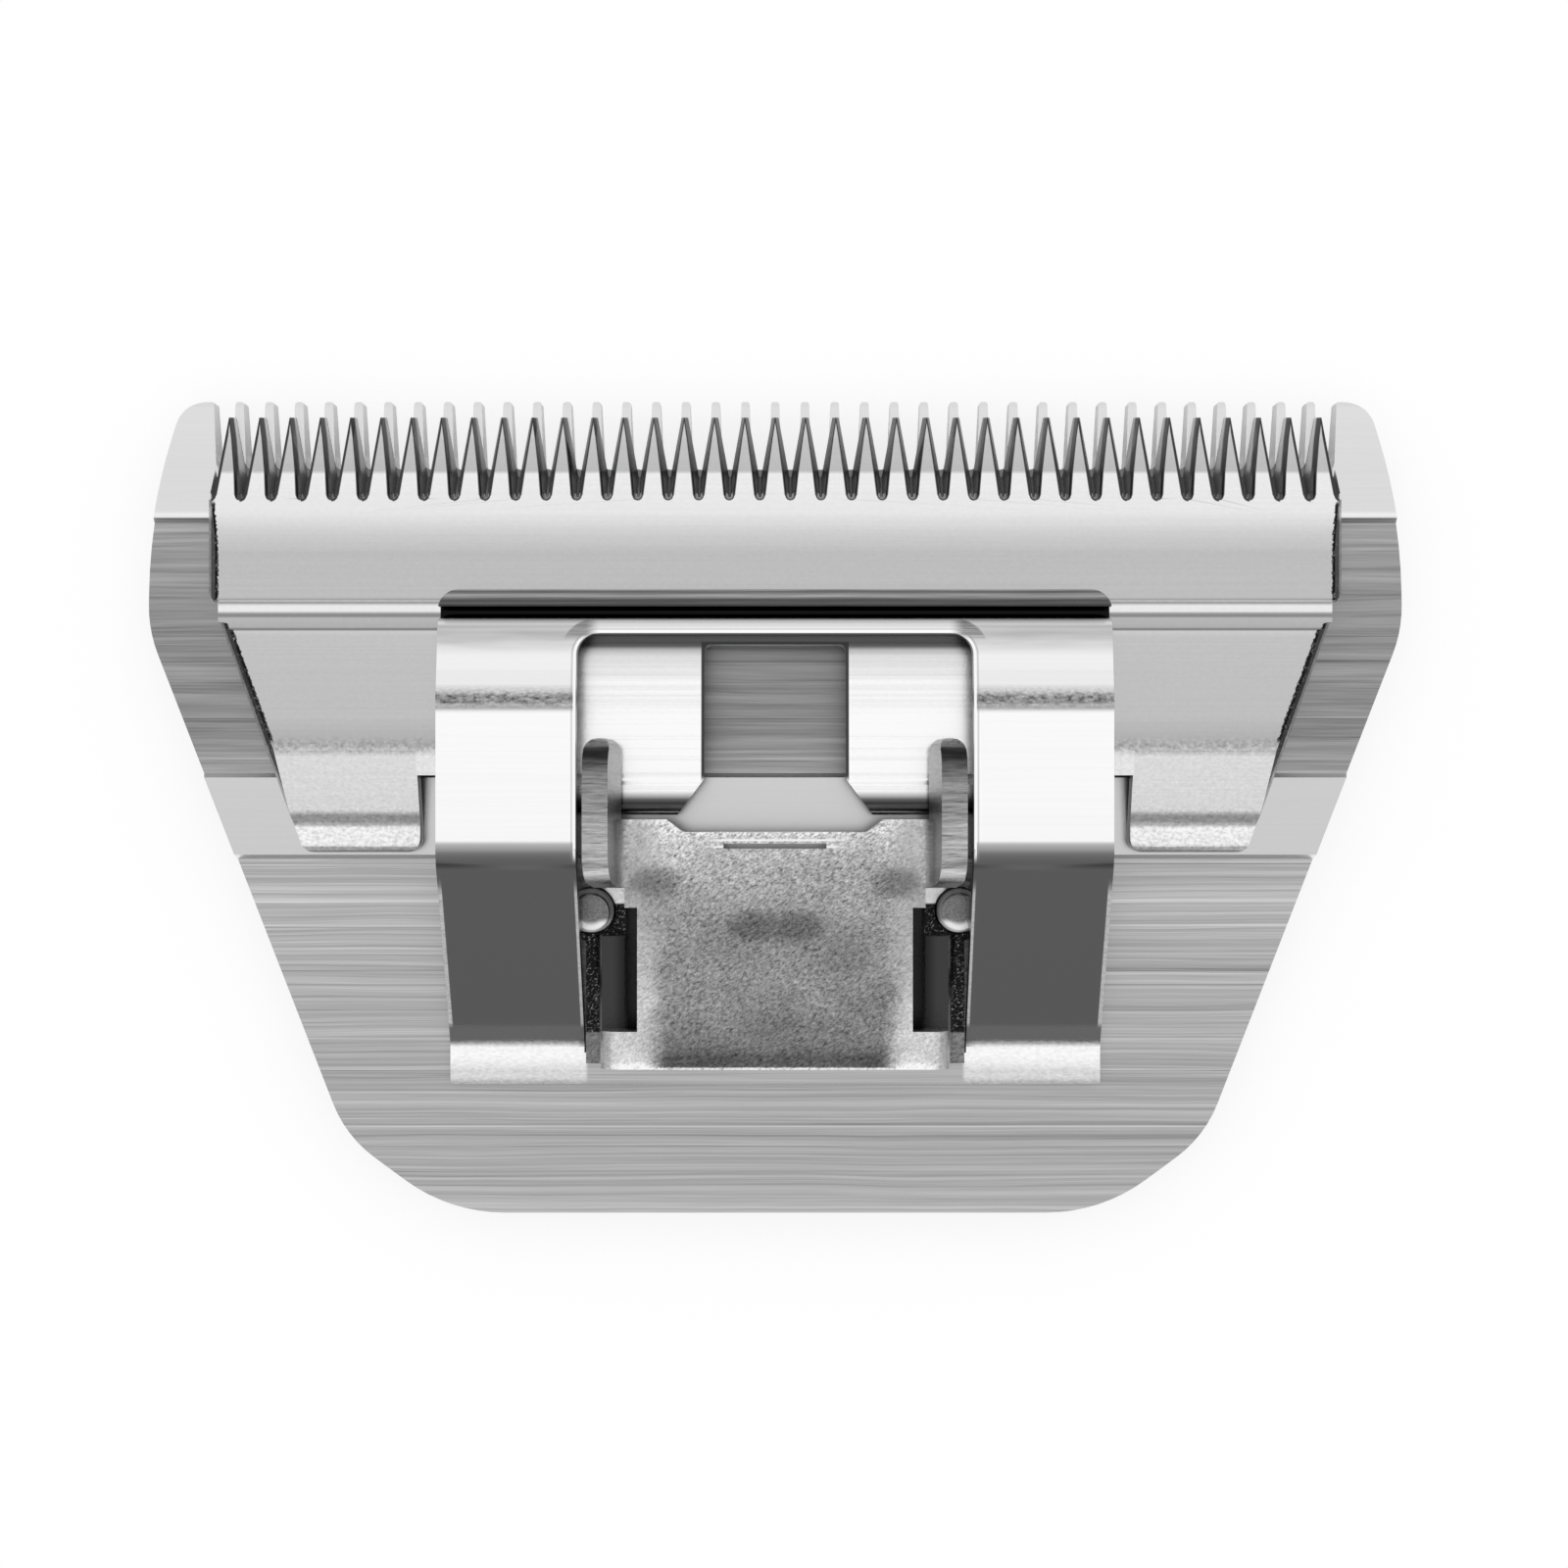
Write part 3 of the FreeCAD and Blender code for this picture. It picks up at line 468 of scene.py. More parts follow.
@dataclass(frozen=True)
class CutterSteel(Finish):
    """The cutter: lapped teeth and land, a satin plate, pressed feet and horns painted near white
    as a highlight, with painted light and shade on its teeth, sides and bends.
    """

    # The plate's tone stops carry painted light and shade: the dips at the feet's bends, along the
    # groove and under the spring's front bar are painted shade, the high stops beside them painted
    # highlights.
    tones: Stops = (
        (-2.3, 0.84), (-0.95, 0.88), (-0.8, 0.42), (-0.35, 0.36), (-0.1, 0.78), (2.5, 0.80),
        (3.0, 0.42), (3.5, 0.46), (4.4, 0.53), (8.3, 0.55), (8.55, 0.62), (8.62, 0.16),
        (8.75, 0.44), (9.25, 0.50), (9.3, 0.22), (9.44, 0.28), (9.52, 0.82), (9.85, 0.86),
        (9.93, 0.24), (10.05, 0.30), (10.15, 0.53), (12.3, 0.52), (13.2, 0.62), (14.3, 0.84),
        (16.3, 0.88), (16.38, 0.52), (18.0, 0.56), (18.1, 0.60), (19.2, 0.62),
    )
    # The horns are painted near white as the highlight of their crowned top, with a painted shadow
    # of the spring's front bar near 8 and painted shade at their rear edge.
    horn_light_and_shade_tones: Stops = (
        (-0.3, 0.05), (0.1, 0.10), (0.25, 0.03), (0.45, 0.12), (0.62, 0.45), (0.85, 0.92),
        (2.0, 0.97), (4.9, 0.95), (5.8, 0.90), (6.6, 0.82), (7.3, 0.72), (7.6, 0.56),
        (7.72, 0.34), (7.8, 0.14), (8.0, 0.08), (8.3, 0.12), (8.5, 0.12),
    )
    # The top of the teeth in centimetres, since a ramp holds no more than 1.
    top_centimetres: Stops = ((12.9, 0.56), (16.4, 0.437), (18.05, 0.395), (19.2, 0.379))
    # The ground teeth, as the part has them.
    pitch: float = 1.483
    root_y: float = 15.17
    root_radius: float = 0.19
    keel_y: float = 15.1
    keel_height: float = 4.065
    keel_fall: float = 0.85
    keel_half: float = 0.05
    draft: float = 0.215
    tooth_y: Span = (14.4, 14.7)
    rim_y: Span = (14.6, 14.75)
    rim_width: float = 0.035
    rim_growth: float = 0.075
    # The sloped sides, horns and drive slot.
    side_top: float = 26.97
    side_high: float = 5.6
    side_lean: float = 0.483
    side_y: Span = (3.2, 14.85)
    waist_y: float = 9.0
    waist_step: float = 0.58
    taper: float = 0.3605
    horn_half: float = 9.95
    horn_y: Span = (8.5, 8.4)
    slot_half: float = 3.42
    slot_end: float = 7.9
    slot_y: Span = (1.2, 1.6)
    # Where a finish starts and where it is full.
    press_y: Span = (3.6, 2.9)
    bend_y: Span = (2.75, 3.45)
    foot_y: Span = (0.2, -0.5)
    gullet_z: Span = (4.34, 4.3)
    gullet_y: Span = (16.6, 16.3)
    closed_y: Span = (16.7, 16.0)
    slot_edge_shade_tone: float = 0.05
    gullet_shade_tone: float = 0.27
    nose_shade_tone: float = 0.06
    rim_tone: float = 0.05
    side_shade_tone: float = 0.010
    end_tone: float = 0.62
    deep_tone: float = 0.30
    pale_wall_light_tone: float = 0.92
    bands: Grain = Grain((160.0, 0.3, 1.0), 3.0, 0.6, 3.3)
    fine: Grain = Grain((26.0, 0.09, 0.5), 3.0, 0.6, 7.7)
    grain: Grain = Grain((0.2, 0.16, 0.3), 3.0, 0.68, 2.2)
    relief_depth: float = 0.018

    def shade(self, graph: Graph) -> Signal:
        """Writes the nodes and gives the shader."""
        x, y, z = point = graph.place()
        nx, ny, up = graph.facing()
        bands = graph.noise(point, self.bands)
        fine = graph.noise(point, self.fine)
        grain = graph.noise(point, self.grain)
        plate = graph.profile(y, self.tones) * (0.98 + fine.swing(0.1) + bands.swing(0.05))
        horn = graph.profile(y, self.horn_light_and_shade_tones) * (1.0 + bands.swing(0.6) + fine.swing(0.2))
        horns = abs(x).below(self.horn_half, 0.05) * y.over(*self.horn_y)
        pressed = y.over(*self.press_y) * (1.0 - horns)
        foot = pressed * y.over(*self.foot_y)
        bend = pressed * y.within(*self.bend_y, 0.3)
        speckle = grain.swing(0.12 + pressed * 0.3 + foot * 1.1 + bend * 1.9)
        tone = (plate.toward(horn, horns) * (1.0 + speckle)).at_most(0.96).at_least(0.03)
        # A painted shade line along the drive slot's edges.
        slot = (abs(x) - self.slot_half).at_least(y - self.slot_end).within(-0.3, 0.13, 0.03)
        tone = tone.toward(self.slot_edge_shade_tone, slot * up.over(0.4, 0.6) * y.over(*self.slot_y))
        teeth = y.over(*self.tooth_y)
        wall = abs(nx).over(0.35, 0.75)
        tone, bare = self.tooth_light_and_shade(graph, tone, point, up, wall * teeth, fine)
        # Painted shade on the floors of the gullets.
        gullet = teeth * z.over(*self.gullet_z) * up.over(0.5, 0.7) * y.over(*self.gullet_y)
        tone = tone.toward(self.gullet_shade_tone, gullet)
        # Faces turned toward the tips are painted dark as shade.
        tone = tone.toward(self.nose_shade_tone, ny.over(0.4, 0.75) * teeth)
        # Painted shade: a ragged dark band along the cutter's sloped sides and on its side walls,
        # lighter low down.
        scaled = (wall * (1.0 - teeth)).at_least(self.side_shade_band(point, up, grain))
        side_shade_level = self.side_shade_tone + (grain - 0.55).at_least(0.0) * 1.6
        low = z.over(self.side_high - 0.7, self.side_high - 0.85)
        tone = tone.toward(side_shade_level.toward(0.5 + grain.swing(0.8), low), scaled)
        tone = tone.toward(self.end_tone + grain.swing(0.4), ny.over(-0.6, -0.9))
        roughness = (0.22 + foot * 0.14 + bend * 0.1).toward(0.34, wall)
        relief = grain * (0.12 + foot * 0.8 + bend * 0.6) + fine * 0.12
        return self.metal(graph, tone, roughness, graph.bump(relief, self.relief_depth), bare)

    def side_shade_band(self, point: Point, up: Signal, grain: Signal) -> Signal:
        """Marks the ragged band of painted shade along the sides.

        Args:
            point: The place in millimetres.
            up: How far the surface faces up.
            grain: The grain that makes the band ragged.

        Returns:
            The share of scale, between 0 and 1.
        """
        x, y, z = point
        narrow = (self.waist_y - y).at_least(0.0) * self.taper
        narrow = narrow + y.over(self.waist_y + 0.05, self.waist_y - 0.05) * self.waist_step
        edge = self.side_top - narrow - (z - self.side_high) * self.side_lean
        ragged = (abs(x) + grain.swing(0.34) - edge + 0.17).over(0.0, 0.05)
        return ragged * y.within(*self.side_y, 0.15) * up.over(0.4, 0.6)

    def tooth_light_and_shade(
        self, graph: Graph, tone: Signal, point: Point, up: Signal, wall: Signal, fine: Signal
    ) -> tuple[Signal, Signal]:
        """Paints shade on the teeth's top edges and upper walls, and paints light on the walls
        lower down.

        Args:
            graph: The tree.
            tone: The tone so far.
            point: The place in millimetres.
            up: How far the surface faces up.
            wall: Where the walls of the teeth are.
            fine: The fine grinding marks.

        Returns:
            The tone, and how much of the surface is bare metal.
        """
        x, y, z = point
        aside = ((abs(x) / self.pitch + 0.5) % 1.0 - 0.5) * self.pitch
        beside = abs(aside)
        keel = self.keel_height - (y - self.keel_y) * self.keel_fall
        straight = self.pitch / 2 - self.keel_half - (z - keel) * self.draft - beside
        from_gap, from_root = self.pitch / 2 - beside, y - self.root_y
        rounded = (from_gap * from_gap + from_root * from_root) ** 0.5 - self.root_radius
        inward = rounded.toward(straight, y.above(self.root_y, 0.02))
        far = abs(x).over(5.0, 27.0, Blend.EVEN)
        width = self.rim_width + far * aside.over(-0.02, 0.02) * self.rim_growth
        # Painted shade: a dark line along the top edge of each tooth, wider on one side toward the
        # wings.
        rim = (inward - width).over(0.045, 0.0) * up.over(0.5, 0.8) * y.over(*self.rim_y)
        tone = tone.toward(self.rim_tone, rim)
        depth = graph.profile(y, self.top_centimetres) * 10.0 - z
        closed = y.over(*self.closed_y)
        deep = depth.over(0.1, 0.35) * closed
        # The walls are painted dark as shade, lighter deep in the closed gullets; lower down in the
        # wings they are painted pale and made matt, as painted light.
        side = (0.04 + fine * 0.03).toward(self.deep_tone, deep)
        painted_wall_light = depth.over(0.4, 0.62) * far * (1.0 - closed)
        side = side.toward(self.pale_wall_light_tone, painted_wall_light)
        return tone.toward(side, wall), 1.0 - (painted_wall_light * 0.95).at_least(deep * 0.75) * wall


@dataclass(frozen=True)
class SpringSteel(Finish):
    """The tension spring: polished legs, a grained crease, feet and bends with painted light and
    shade, and a slope painted dark as shade.
    """

    # The foot, leg and front tone stops carry painted light and shade: dark slopes and bends,
    # bright flats and rolls, a painted shade dip at the crease and near black in the channel.
    foot_tones: Stops = (
        (-13.6, 0.42), (-13.45, 0.46), (-13.3, 0.62), (-13.15, 0.70), (-12.9, 0.67),
        (-12.75, 0.76), (-12.5, 0.86), (-12.1, 0.95), (-11.75, 0.92), (-11.68, 0.80),
        (-11.6, 0.56), (-11.54, 0.40), (-11.4, 0.31), (-11.25, 0.22), (-11.1, 0.16),
        (-10.8, 0.11),
    )
    leg_tones: Stops = (
        (-9.0, 0.11), (-2.45, 0.11), (-2.2, 0.14), (-2.05, 0.19), (-1.93, 0.29), (-1.8, 0.37),
        (-1.65, 0.47), (-1.56, 0.72), (-1.49, 0.94), (4.5, 0.96), (4.62, 0.80), (4.70, 0.48),
        (4.78, 0.40), (4.9, 0.43), (5.0, 0.30), (5.15, 0.26), (5.3, 0.28), (5.42, 0.42),
        (5.52, 0.56), (5.7, 0.68), (5.9, 0.84),
    )
    front_tones: Stops = (
        (7.2, 0.88), (7.9, 0.68), (8.15, 0.56), (8.35, 0.52), (8.6, 0.66), (8.74, 0.85),
        (8.84, 0.85), (8.93, 0.70), (9.02, 0.50), (9.07, 0.20), (9.2, 0.10), (9.58, 0.02),
        (9.64, 0.06), (9.72, 0.11), (9.84, 0.08), (9.92, 0.11), (9.98, 0.22), (10.05, 0.31),
        (10.14, 0.30), (10.23, 0.15), (10.30, 0.13), (10.37, 0.34), (10.45, 0.36),
    )
    half_width: float = 15.95
    trim_width: float = 0.22
    trim_y: Span = (-3.2, -4.2)
    window_half: float = 9.36
    window_front: float = 8.3
    window_round: float = 1.0
    open_y: Span = (-2.6, -2.0)
    high_z: Span = (6.9, 7.1)
    foot_z: Span = (3.95, 3.75)
    crease_y: Span = (4.85, 5.6)
    front_y: Span = (7.6, 8.5)
    roll_y: Span = (8.2, 9.1)
    lip_y: Span = (9.5, 9.6)
    channel_y: Span = (9.05, 9.60)
    channel_z: Span = (7.7, 7.4)
    strap_y: float = -12.35
    slope_shade_tone: float = 0.31
    bar_highlight_tone: float = 0.97
    rim_tone: float = 0.95
    window_outline_shade_tone: float = 0.30
    trim_highlight_tone: float = 0.66
    channel_shade_tone: float = 0.008
    strap_shade_tone: float = 0.012
    behind_tone: float = 0.42
    cut_edge_shade_tone: float = 0.16
    grain: Grain = Grain((0.26, 0.12, 0.2), 3.0, 0.7, 5.0)
    streak: Grain = Grain((5.0, 0.07, 0.2), 3.0, 0.6, 25.0)
    fine: Grain = Grain((18.0, 0.16, 0.3), 3.0, 0.6, 9.0)
    smear: Grain = Grain((5.5, 0.6, 1.0), 2.0, 0.5, 15.0)
    relief_depth: float = 0.025

    def window_distance(self, x: Signal, y: Signal) -> Signal:
        """Gives the distance outward from the window's rounded outline, in millimetres."""
        across = (abs(x) - (self.window_half - self.window_round)).at_least(0.0)
        along = (y - (self.window_front - self.window_round)).at_least(0.0)
        return (across * across + along * along) ** 0.5 - self.window_round

    def bent_tone(self, graph: Graph, y: Signal) -> Signal:
        """Gives the tone along the bent strip, from its feet over its legs to its front."""
        feet = graph.profile(y, self.foot_tones)
        legs = feet.toward(graph.profile(y, self.leg_tones), y.over(-9.9, -9.8))
        return legs.toward(graph.profile(y, self.front_tones), y.over(6.5, 6.6))

    def shade(self, graph: Graph) -> Signal:
        """Writes the nodes and gives the shader."""
        x, y, z = point = graph.place()
        nx, ny, up = graph.facing()
        grain = graph.noise(point, self.grain)
        streak = graph.noise(point, self.streak)
        fine = graph.noise(point, self.fine)
        smear = graph.noise(point, self.smear)
        high = z.over(*self.high_z)
        foot = z.over(*self.foot_z)
        crease = y.within(*self.crease_y, 0.3) * high
        front = y.within(*self.front_y, 0.3) * high
        lip = y.over(*self.lip_y) * high
        tone = self.bent_tone(graph, y) * (0.99 + fine.swing(0.06))
        tone = tone * (1.0 - front * (smear - 0.40).at_least(0.0) * 0.7)
        tone = tone * (1.0 + lip * (streak - 0.5) * 1.5)
        tone = tone + grain.swing(crease * 1.35 + foot * 0.55)
        beside = self.window_distance(x, y)
        open_side = y.over(*self.open_y)
        # The window's front bar is painted bright as the highlight of its rolled edge, darker
        # toward the corners as painted shade; a thin painted highlight runs along the window's
        # sides, with a painted shade line just outside the window.
        bar = beside.within(0.0, 0.76, 0.05) * y.over(7.9, 8.25) * up.over(0.4, 0.6)
        rim = beside.within(-0.02, 0.13, 0.03) * y.over(8.3, 7.9) * up.over(0.4, 0.6)
        corner = abs(x).over(8.2, 9.0) * y.over(7.6, 8.2)
        tone = tone.toward(self.bar_highlight_tone - corner * (streak + 0.12), bar)
        tone = tone.toward(self.rim_tone, rim * open_side)
        tone = tone.toward(self.window_outline_shade_tone, beside.within(0.16, 0.24, 0.03) * open_side * 0.45)
        # Rear-facing slopes are painted dark as shade.
        slope = (-ny).over(0.36, 0.45) * up.over(0.1, 0.4)
        tone = tone.toward(self.slope_shade_tone, slope)
        # A painted highlight strip along the outer and inner edges of the rear slope, made matt so
        # that it reads bright.
        outside = abs(x).over(self.half_width - self.trim_width, self.half_width - 0.16)
        trim = outside.at_least(beside.over(0.17, 0.11)) * y.over(*self.trim_y)
        trim = trim * up.over(0.3, 0.6)
        tone = tone.toward(self.trim_highlight_tone + grain.swing(0.9), trim * (1.0 - foot))
        # Painted shade: the channel is painted near black.
        channel = y.within(*self.channel_y, 0.025) * z.over(*self.channel_z)
        tone = tone.toward(self.channel_shade_tone, channel)
        # Painted shade: the strap under the socket is painted near black.
        flat = up.over(0.75, 0.95) * z.over(3.45, 3.35)
        strap = flat * abs(x).over(9.3, 9.2) * y.above(self.strap_y, 0.15)
        behind = z.over(3.5, 3.4) * abs(x).over(9.35, 9.15) * y.below(self.strap_y, 0.15)
        tone = tone.toward(self.strap_shade_tone + grain * 0.02, strap)
        tone = tone.toward(self.behind_tone + fine.swing(0.5), behind)
        tone = tone.at_most(0.97).at_least(0.008)
        # Steep side faces, the sheared edges, are painted dark as shade, with grain.
        cut_edge = abs(nx).over(0.6, 0.85)
        tone = tone.toward(self.cut_edge_shade_tone + grain.swing(0.5), cut_edge * (1.0 - channel))
        roughness = 0.09 + crease * 0.22 + slope * 0.1 + lip * 0.14 + foot * 0.16 + cut_edge * 0.2
        relief = grain * (crease + foot * 0.4 + cut_edge) + streak * lip * 0.4
        # The rolled front edge is made matt so that its painted highlight reads bright.
        roll = y.within(*self.roll_y, 0.05) * z.over(6.8, 7.0) * ny.over(0.42, 0.65)
        bare = 1.0 - (roll * 0.9).at_least(trim * (1.0 - foot) * 0.85)
        return self.metal(graph, tone, roughness, graph.bump(relief, self.relief_depth), bare)


@dataclass(frozen=True)
class SocketSteel(Finish):
    """The socket: tumbled sheet with a coarse grain, striated ears, and painted light and shade on
    its roof, ears, flanges and notches.
    """

    # The ears' tone stops carry painted light and shade: a bright patch near the rear where the top
    # edge curves down, darkening to near black and lighter again at the rounded front.
    ear_light_and_shade_tones: Stops = (
        (-3.8, 0.30), (-3.55, 0.50), (-3.45, 0.85), (-3.2, 0.76), (-3.0, 0.97), (-2.8, 0.72),
        (-2.6, 0.42), (-2.1, 0.46), (-1.4, 0.42), (-0.8, 0.38), (0.0, 0.30), (1.0, 0.26),
        (1.5, 0.21), (1.9, 0.13), (2.2, 0.08), (2.4, 0.035), (2.7, 0.028), (2.86, 0.07),
        (3.0, 0.24), (3.15, 0.5), (3.4, 0.5),
    )
    inner_tones: Stops = (
        (-3.8, 0.5), (-2.5, 0.5), (-1.5, 0.42), (-0.6, 0.3), (-0.1, 0.2), (0.5, 0.26),
        (1.0, 0.42), (2.5, 0.42), (3.2, 0.3),
    )
    # The roof's tone stops carry painted light and shade: a painted highlight on the rear edge with
    # a painted shade band in front of it, a darker middle, and a paler front and sides.
    roof_tones: Stops = (
        (-12.4, 0.94), (-12.34, 0.90), (-12.28, 0.12), (-12.1, 0.10), (-11.8, 0.10),
        (-11.5, 0.15), (-11.2, 0.19), (-10.4, 0.22), (-9.5, 0.25), (-8.0, 0.27), (-6.6, 0.25),
        (-5.4, 0.27), (-4.2, 0.33), (-3.0, 0.42), (-2.2, 0.50), (-1.4, 0.60), (-1.1, 0.70),
        (-0.5, 0.80),
    )
    side_tones: Stops = (
        (-12.4, 0.97), (-12.2, 0.95), (-12.0, 0.66), (-10.4, 0.56), (-7.0, 0.46), (-4.6, 0.40),
        (-3.4, 0.38), (-2.6, 0.42), (-0.8, 0.50), (-0.5, 0.70),
    )
    shade_spot_places: Sequence[tuple[float, float, float, float]] = (
        (5.7, -3.5, 1.3, 0.75), (1.0, -5.6, 1.5, 0.8),
    )
    slant: tuple[float, float] = (0.87, 0.5)
    ear_z: Span = (9.1, 9.6)
    bend_z: Span = (7.0, 8.6)
    shade_z: Span = (5.3, 6.2)
    flange_z: Span = (5.6, 5.3)
    slit_y: float = -1.65
    slit_half: float = 2.45
    slit_fade: float = 1.2
    slit_width: float = 0.16
    notch_front: float = -4.7
    notch_rear: float = -10.6
    notch_inner: float = 6.55
    slit_highlight_tone: float = 0.9
    ear_bend_shade_tone: float = 0.50
    flange_shade_tone: float = 0.2
    front_flange_highlight_tone: float = 0.92
    notch_flange_shade_tone: float = 0.012
    notch_shade_tone: float = 0.01
    stripe_tone: float = 0.022
    rear_tone: float = 0.55
    coarse: Grain = Grain((0.28, 0.16, 0.3), 2.0, 0.75, 11.0)
    grain: Grain = Grain((0.15, 0.08, 0.13), 2.0, 0.8, 17.0)
    patch: Grain = Grain((2.6, 1.8, 3.0), 3.0, 0.55, 14.0)
    hatch: Grain = Grain((1.4, 0.11, 0.8), 3.0, 0.7, 21.0)
    relief_depth: float = 0.06

    def shade(self, graph: Graph) -> Signal:
        """Writes the nodes and gives the shader."""
        x, y, z = point = graph.place()
        nx, ny, up = graph.facing()
        major, minor = self.slant
        slanted = (x * major + y * minor, y * major - x * minor, z)
        coarse = graph.noise(slanted, self.coarse)
        grain = graph.noise(slanted, self.grain)
        patch = graph.noise(point, self.patch)
        hatch = graph.noise(point, self.hatch)
        side = (abs(x) + patch.swing(1.6)).over(5.0, 6.5)
        roof = graph.profile(y, self.roof_tones).toward(graph.profile(y, self.side_tones), side)
        # Painted shade spots darken the roof near its front corners and behind the middle.
        roof = roof * (1.0 + patch.swing(0.9) - self.shade_spots(x, y) * (patch * 0.9))
        skin = coarse.swing(2.6) + grain.swing(2.6)
        tone = roof * (1.0 + skin * (1.0 - side * 0.5)).at_least(0.15)
        # Painted highlights along both edges of the slit.
        lit = abs(abs(y - self.slit_y) - self.slit_width).over(0.07, 0.03)
        lit = lit * abs(x).over(self.slit_half + self.slit_fade, self.slit_half)
        tone = tone.toward(self.slit_highlight_tone, lit * up.over(0.8, 0.9))
        ear = z.over(*self.ear_z) * up.over(0.3, 0.6)
        tone = tone.toward(graph.profile(y, self.ear_light_and_shade_tones) * (1.0 + hatch.swing(2.8)), ear)
        # Painted shade along the ears' bends.
        bend = up.within(0.3, 0.9, 0.08) * z.within(*self.bend_z, 0.2)
        tone = tone.toward(self.ear_bend_shade_tone + coarse.swing(1.2), bend)
        inner = graph.profile(y, self.inner_tones) + hatch.swing(0.4)
        tone = tone.toward(inner, abs(nx).over(0.5, 0.8))
        # The flanges are painted dark as shade, with a painted highlight where the notch starts and
        # near-black painted shade along the notches.
        flange = z.over(*self.flange_z) * up.over(0.5, 0.9)
        front = y.over(self.notch_front + 0.02, self.notch_front + 0.12) * abs(x).over(8.4, 8.1)
        plain = (self.flange_shade_tone + coarse.swing(0.5)).toward(self.front_flange_highlight_tone, front)
        tone = tone.toward(plain, flange)
        notch_flange_shade = y.within(self.notch_rear - 0.3, self.notch_front + 0.05, 0.06)
        black = self.notch_flange_shade_tone + (grain - 0.56).at_least(0.0) * 2.4
        tone = tone.toward(black, flange * notch_flange_shade)
        shaded = z.within(*self.shade_z, 0.2) * up.over(0.5, 0.9)
        stripe = self.stripe_tone + abs(x).over(7.2, 7.9) * 0.03
        tone = tone.toward(stripe, shaded * (1.0 - ear))
        # Painted shade: what shows through the roof's notches is painted black, with a ragged inner
        # edge.
        inward = abs(x) + coarse.swing(0.25)
        serrated = inward.over(self.notch_inner + 0.1, self.notch_inner - 0.02)
        notch = y.within(self.notch_rear, self.notch_front, 0.04) * (1.0 - serrated)
        notch = notch * z.over(7.1, 6.9) * abs(x).over(7.0, 6.95)
        tone = tone.toward(self.notch_shade_tone, notch).at_most(0.97).at_least(0.008)
        tone = tone.toward(self.rear_tone + coarse.swing(0.5), ny.over(-0.6, -0.9))
        relief = graph.bump(coarse * 0.6 + grain * 0.4, self.relief_depth, 0.9)
        bare = 1.0 - ear * y.over(-2.6, -2.9) * 0.8
        return self.metal(graph, tone, 0.26 + coarse * 0.2, relief, bare)

    def shade_spots(self, x: Signal, y: Signal) -> Signal:
        """Gives painted shade spots near the front corners and behind the middle."""
        shade_spots: Optional[Signal] = None
        for centre_x, centre_y, half_x, half_y in self.shade_spot_places:
            across, along = (abs(x) - centre_x) / half_x, (y - centre_y) / half_y
            spot = (across * across + along * along).over(1.5, 0.1)
            shade_spots = spot if shade_spots is None else shade_spots.at_least(spot)
        return shade_spots


@dataclass(frozen=True)
class ScrewSteel(Finish):
    """The screws: zinc plated, turned ends whose rim and rear crescent are painted bright as
    highlights.
    """

    end_height: float = 5.0
    radius: float = 1.1
    rim_tone: float = 0.32
    crescent_highlight_tone: float = 0.85
    grain: Grain = Grain((0.14, 0.12, 0.14), 3.0, 0.6, 3.0)
    turned: Grain = Grain((0.07, 0.2, 1.0), 2.0, 0.5, 5.0)
    relief_depth: float = 0.014

    def shade(self, graph: Graph) -> Signal:
        """Writes the nodes and gives the shader."""
        x, y, z = point = graph.place()
        ring = (x * x + y * y) ** 0.5
        grain = graph.noise(point, self.grain)
        turned = graph.noise((ring, z, 0.0), self.turned)
        tone = 0.18 + grain.swing(0.3) + turned.swing(0.16)
        end = z.over(self.end_height - 0.05, self.end_height)
        # The rounded rim of each end is painted lighter and made matt, and a crescent on its rear
        # side brighter still, as painted highlights.
        rounded = end * ring.over(self.radius - 0.24, self.radius - 0.16)
        crescent = end * ring.over(self.radius * 0.4, self.radius * 0.7) * y.over(-0.3, -0.62)
        tone = tone.toward(self.rim_tone, rounded).toward(self.crescent_highlight_tone, crescent)
        relief = graph.bump(grain, self.relief_depth)
        return self.metal(graph, tone, 0.24 + grain * 0.18, relief, 1.0 - rounded * 0.7)


@dataclass(frozen=True)
class GuidePlastic(Finish):
    """The guide between spring and cutter: black moulded plastic."""

    tone: float = 0.016
    grain: Grain = Grain((0.1, 0.1, 0.1), 2.0, 0.5, 6.0)
    relief_depth: float = 0.006

    def shade(self, graph: Graph) -> Signal:
        """Writes the nodes and gives the shader."""
        grain = graph.noise(graph.place(), self.grain)
        return graph.add(
            "ShaderNodeBsdfPrincipled",
            feeds={
                "Base Color": graph.gray(self.tone + grain * 0.012),
                "Roughness": 0.42 + grain * 0.16,
                "Normal": graph.bump(grain, self.relief_depth),
            },
        )


@dataclass(frozen=True)
class FloorPaper(Finish):
    """The pale floor: plain paper that reads as white and keeps the shadow."""

    tone: float = 0.3
    lift: float = 0.75

    def shade(self, graph: Graph) -> Signal:
        """Writes the nodes and gives the shader."""
        paper = graph.add(
            "ShaderNodeBsdfDiffuse", feeds={"Color": (self.tone, self.tone, self.tone, 1.0)}
        )
        rays = graph.add("ShaderNodeLightPath").socket.node
        seen = Signal(graph, rays.outputs["Is Camera Ray"]).at_least(
            Signal(graph, rays.outputs["Is Glossy Ray"])
        ).at_least(Signal(graph, rays.outputs["Is Transmission Ray"]))
        glow = graph.add("ShaderNodeEmission", feeds={"Strength": seen * self.lift})
        return graph.add("ShaderNodeAddShader", feeds={0: paper, 1: glow})


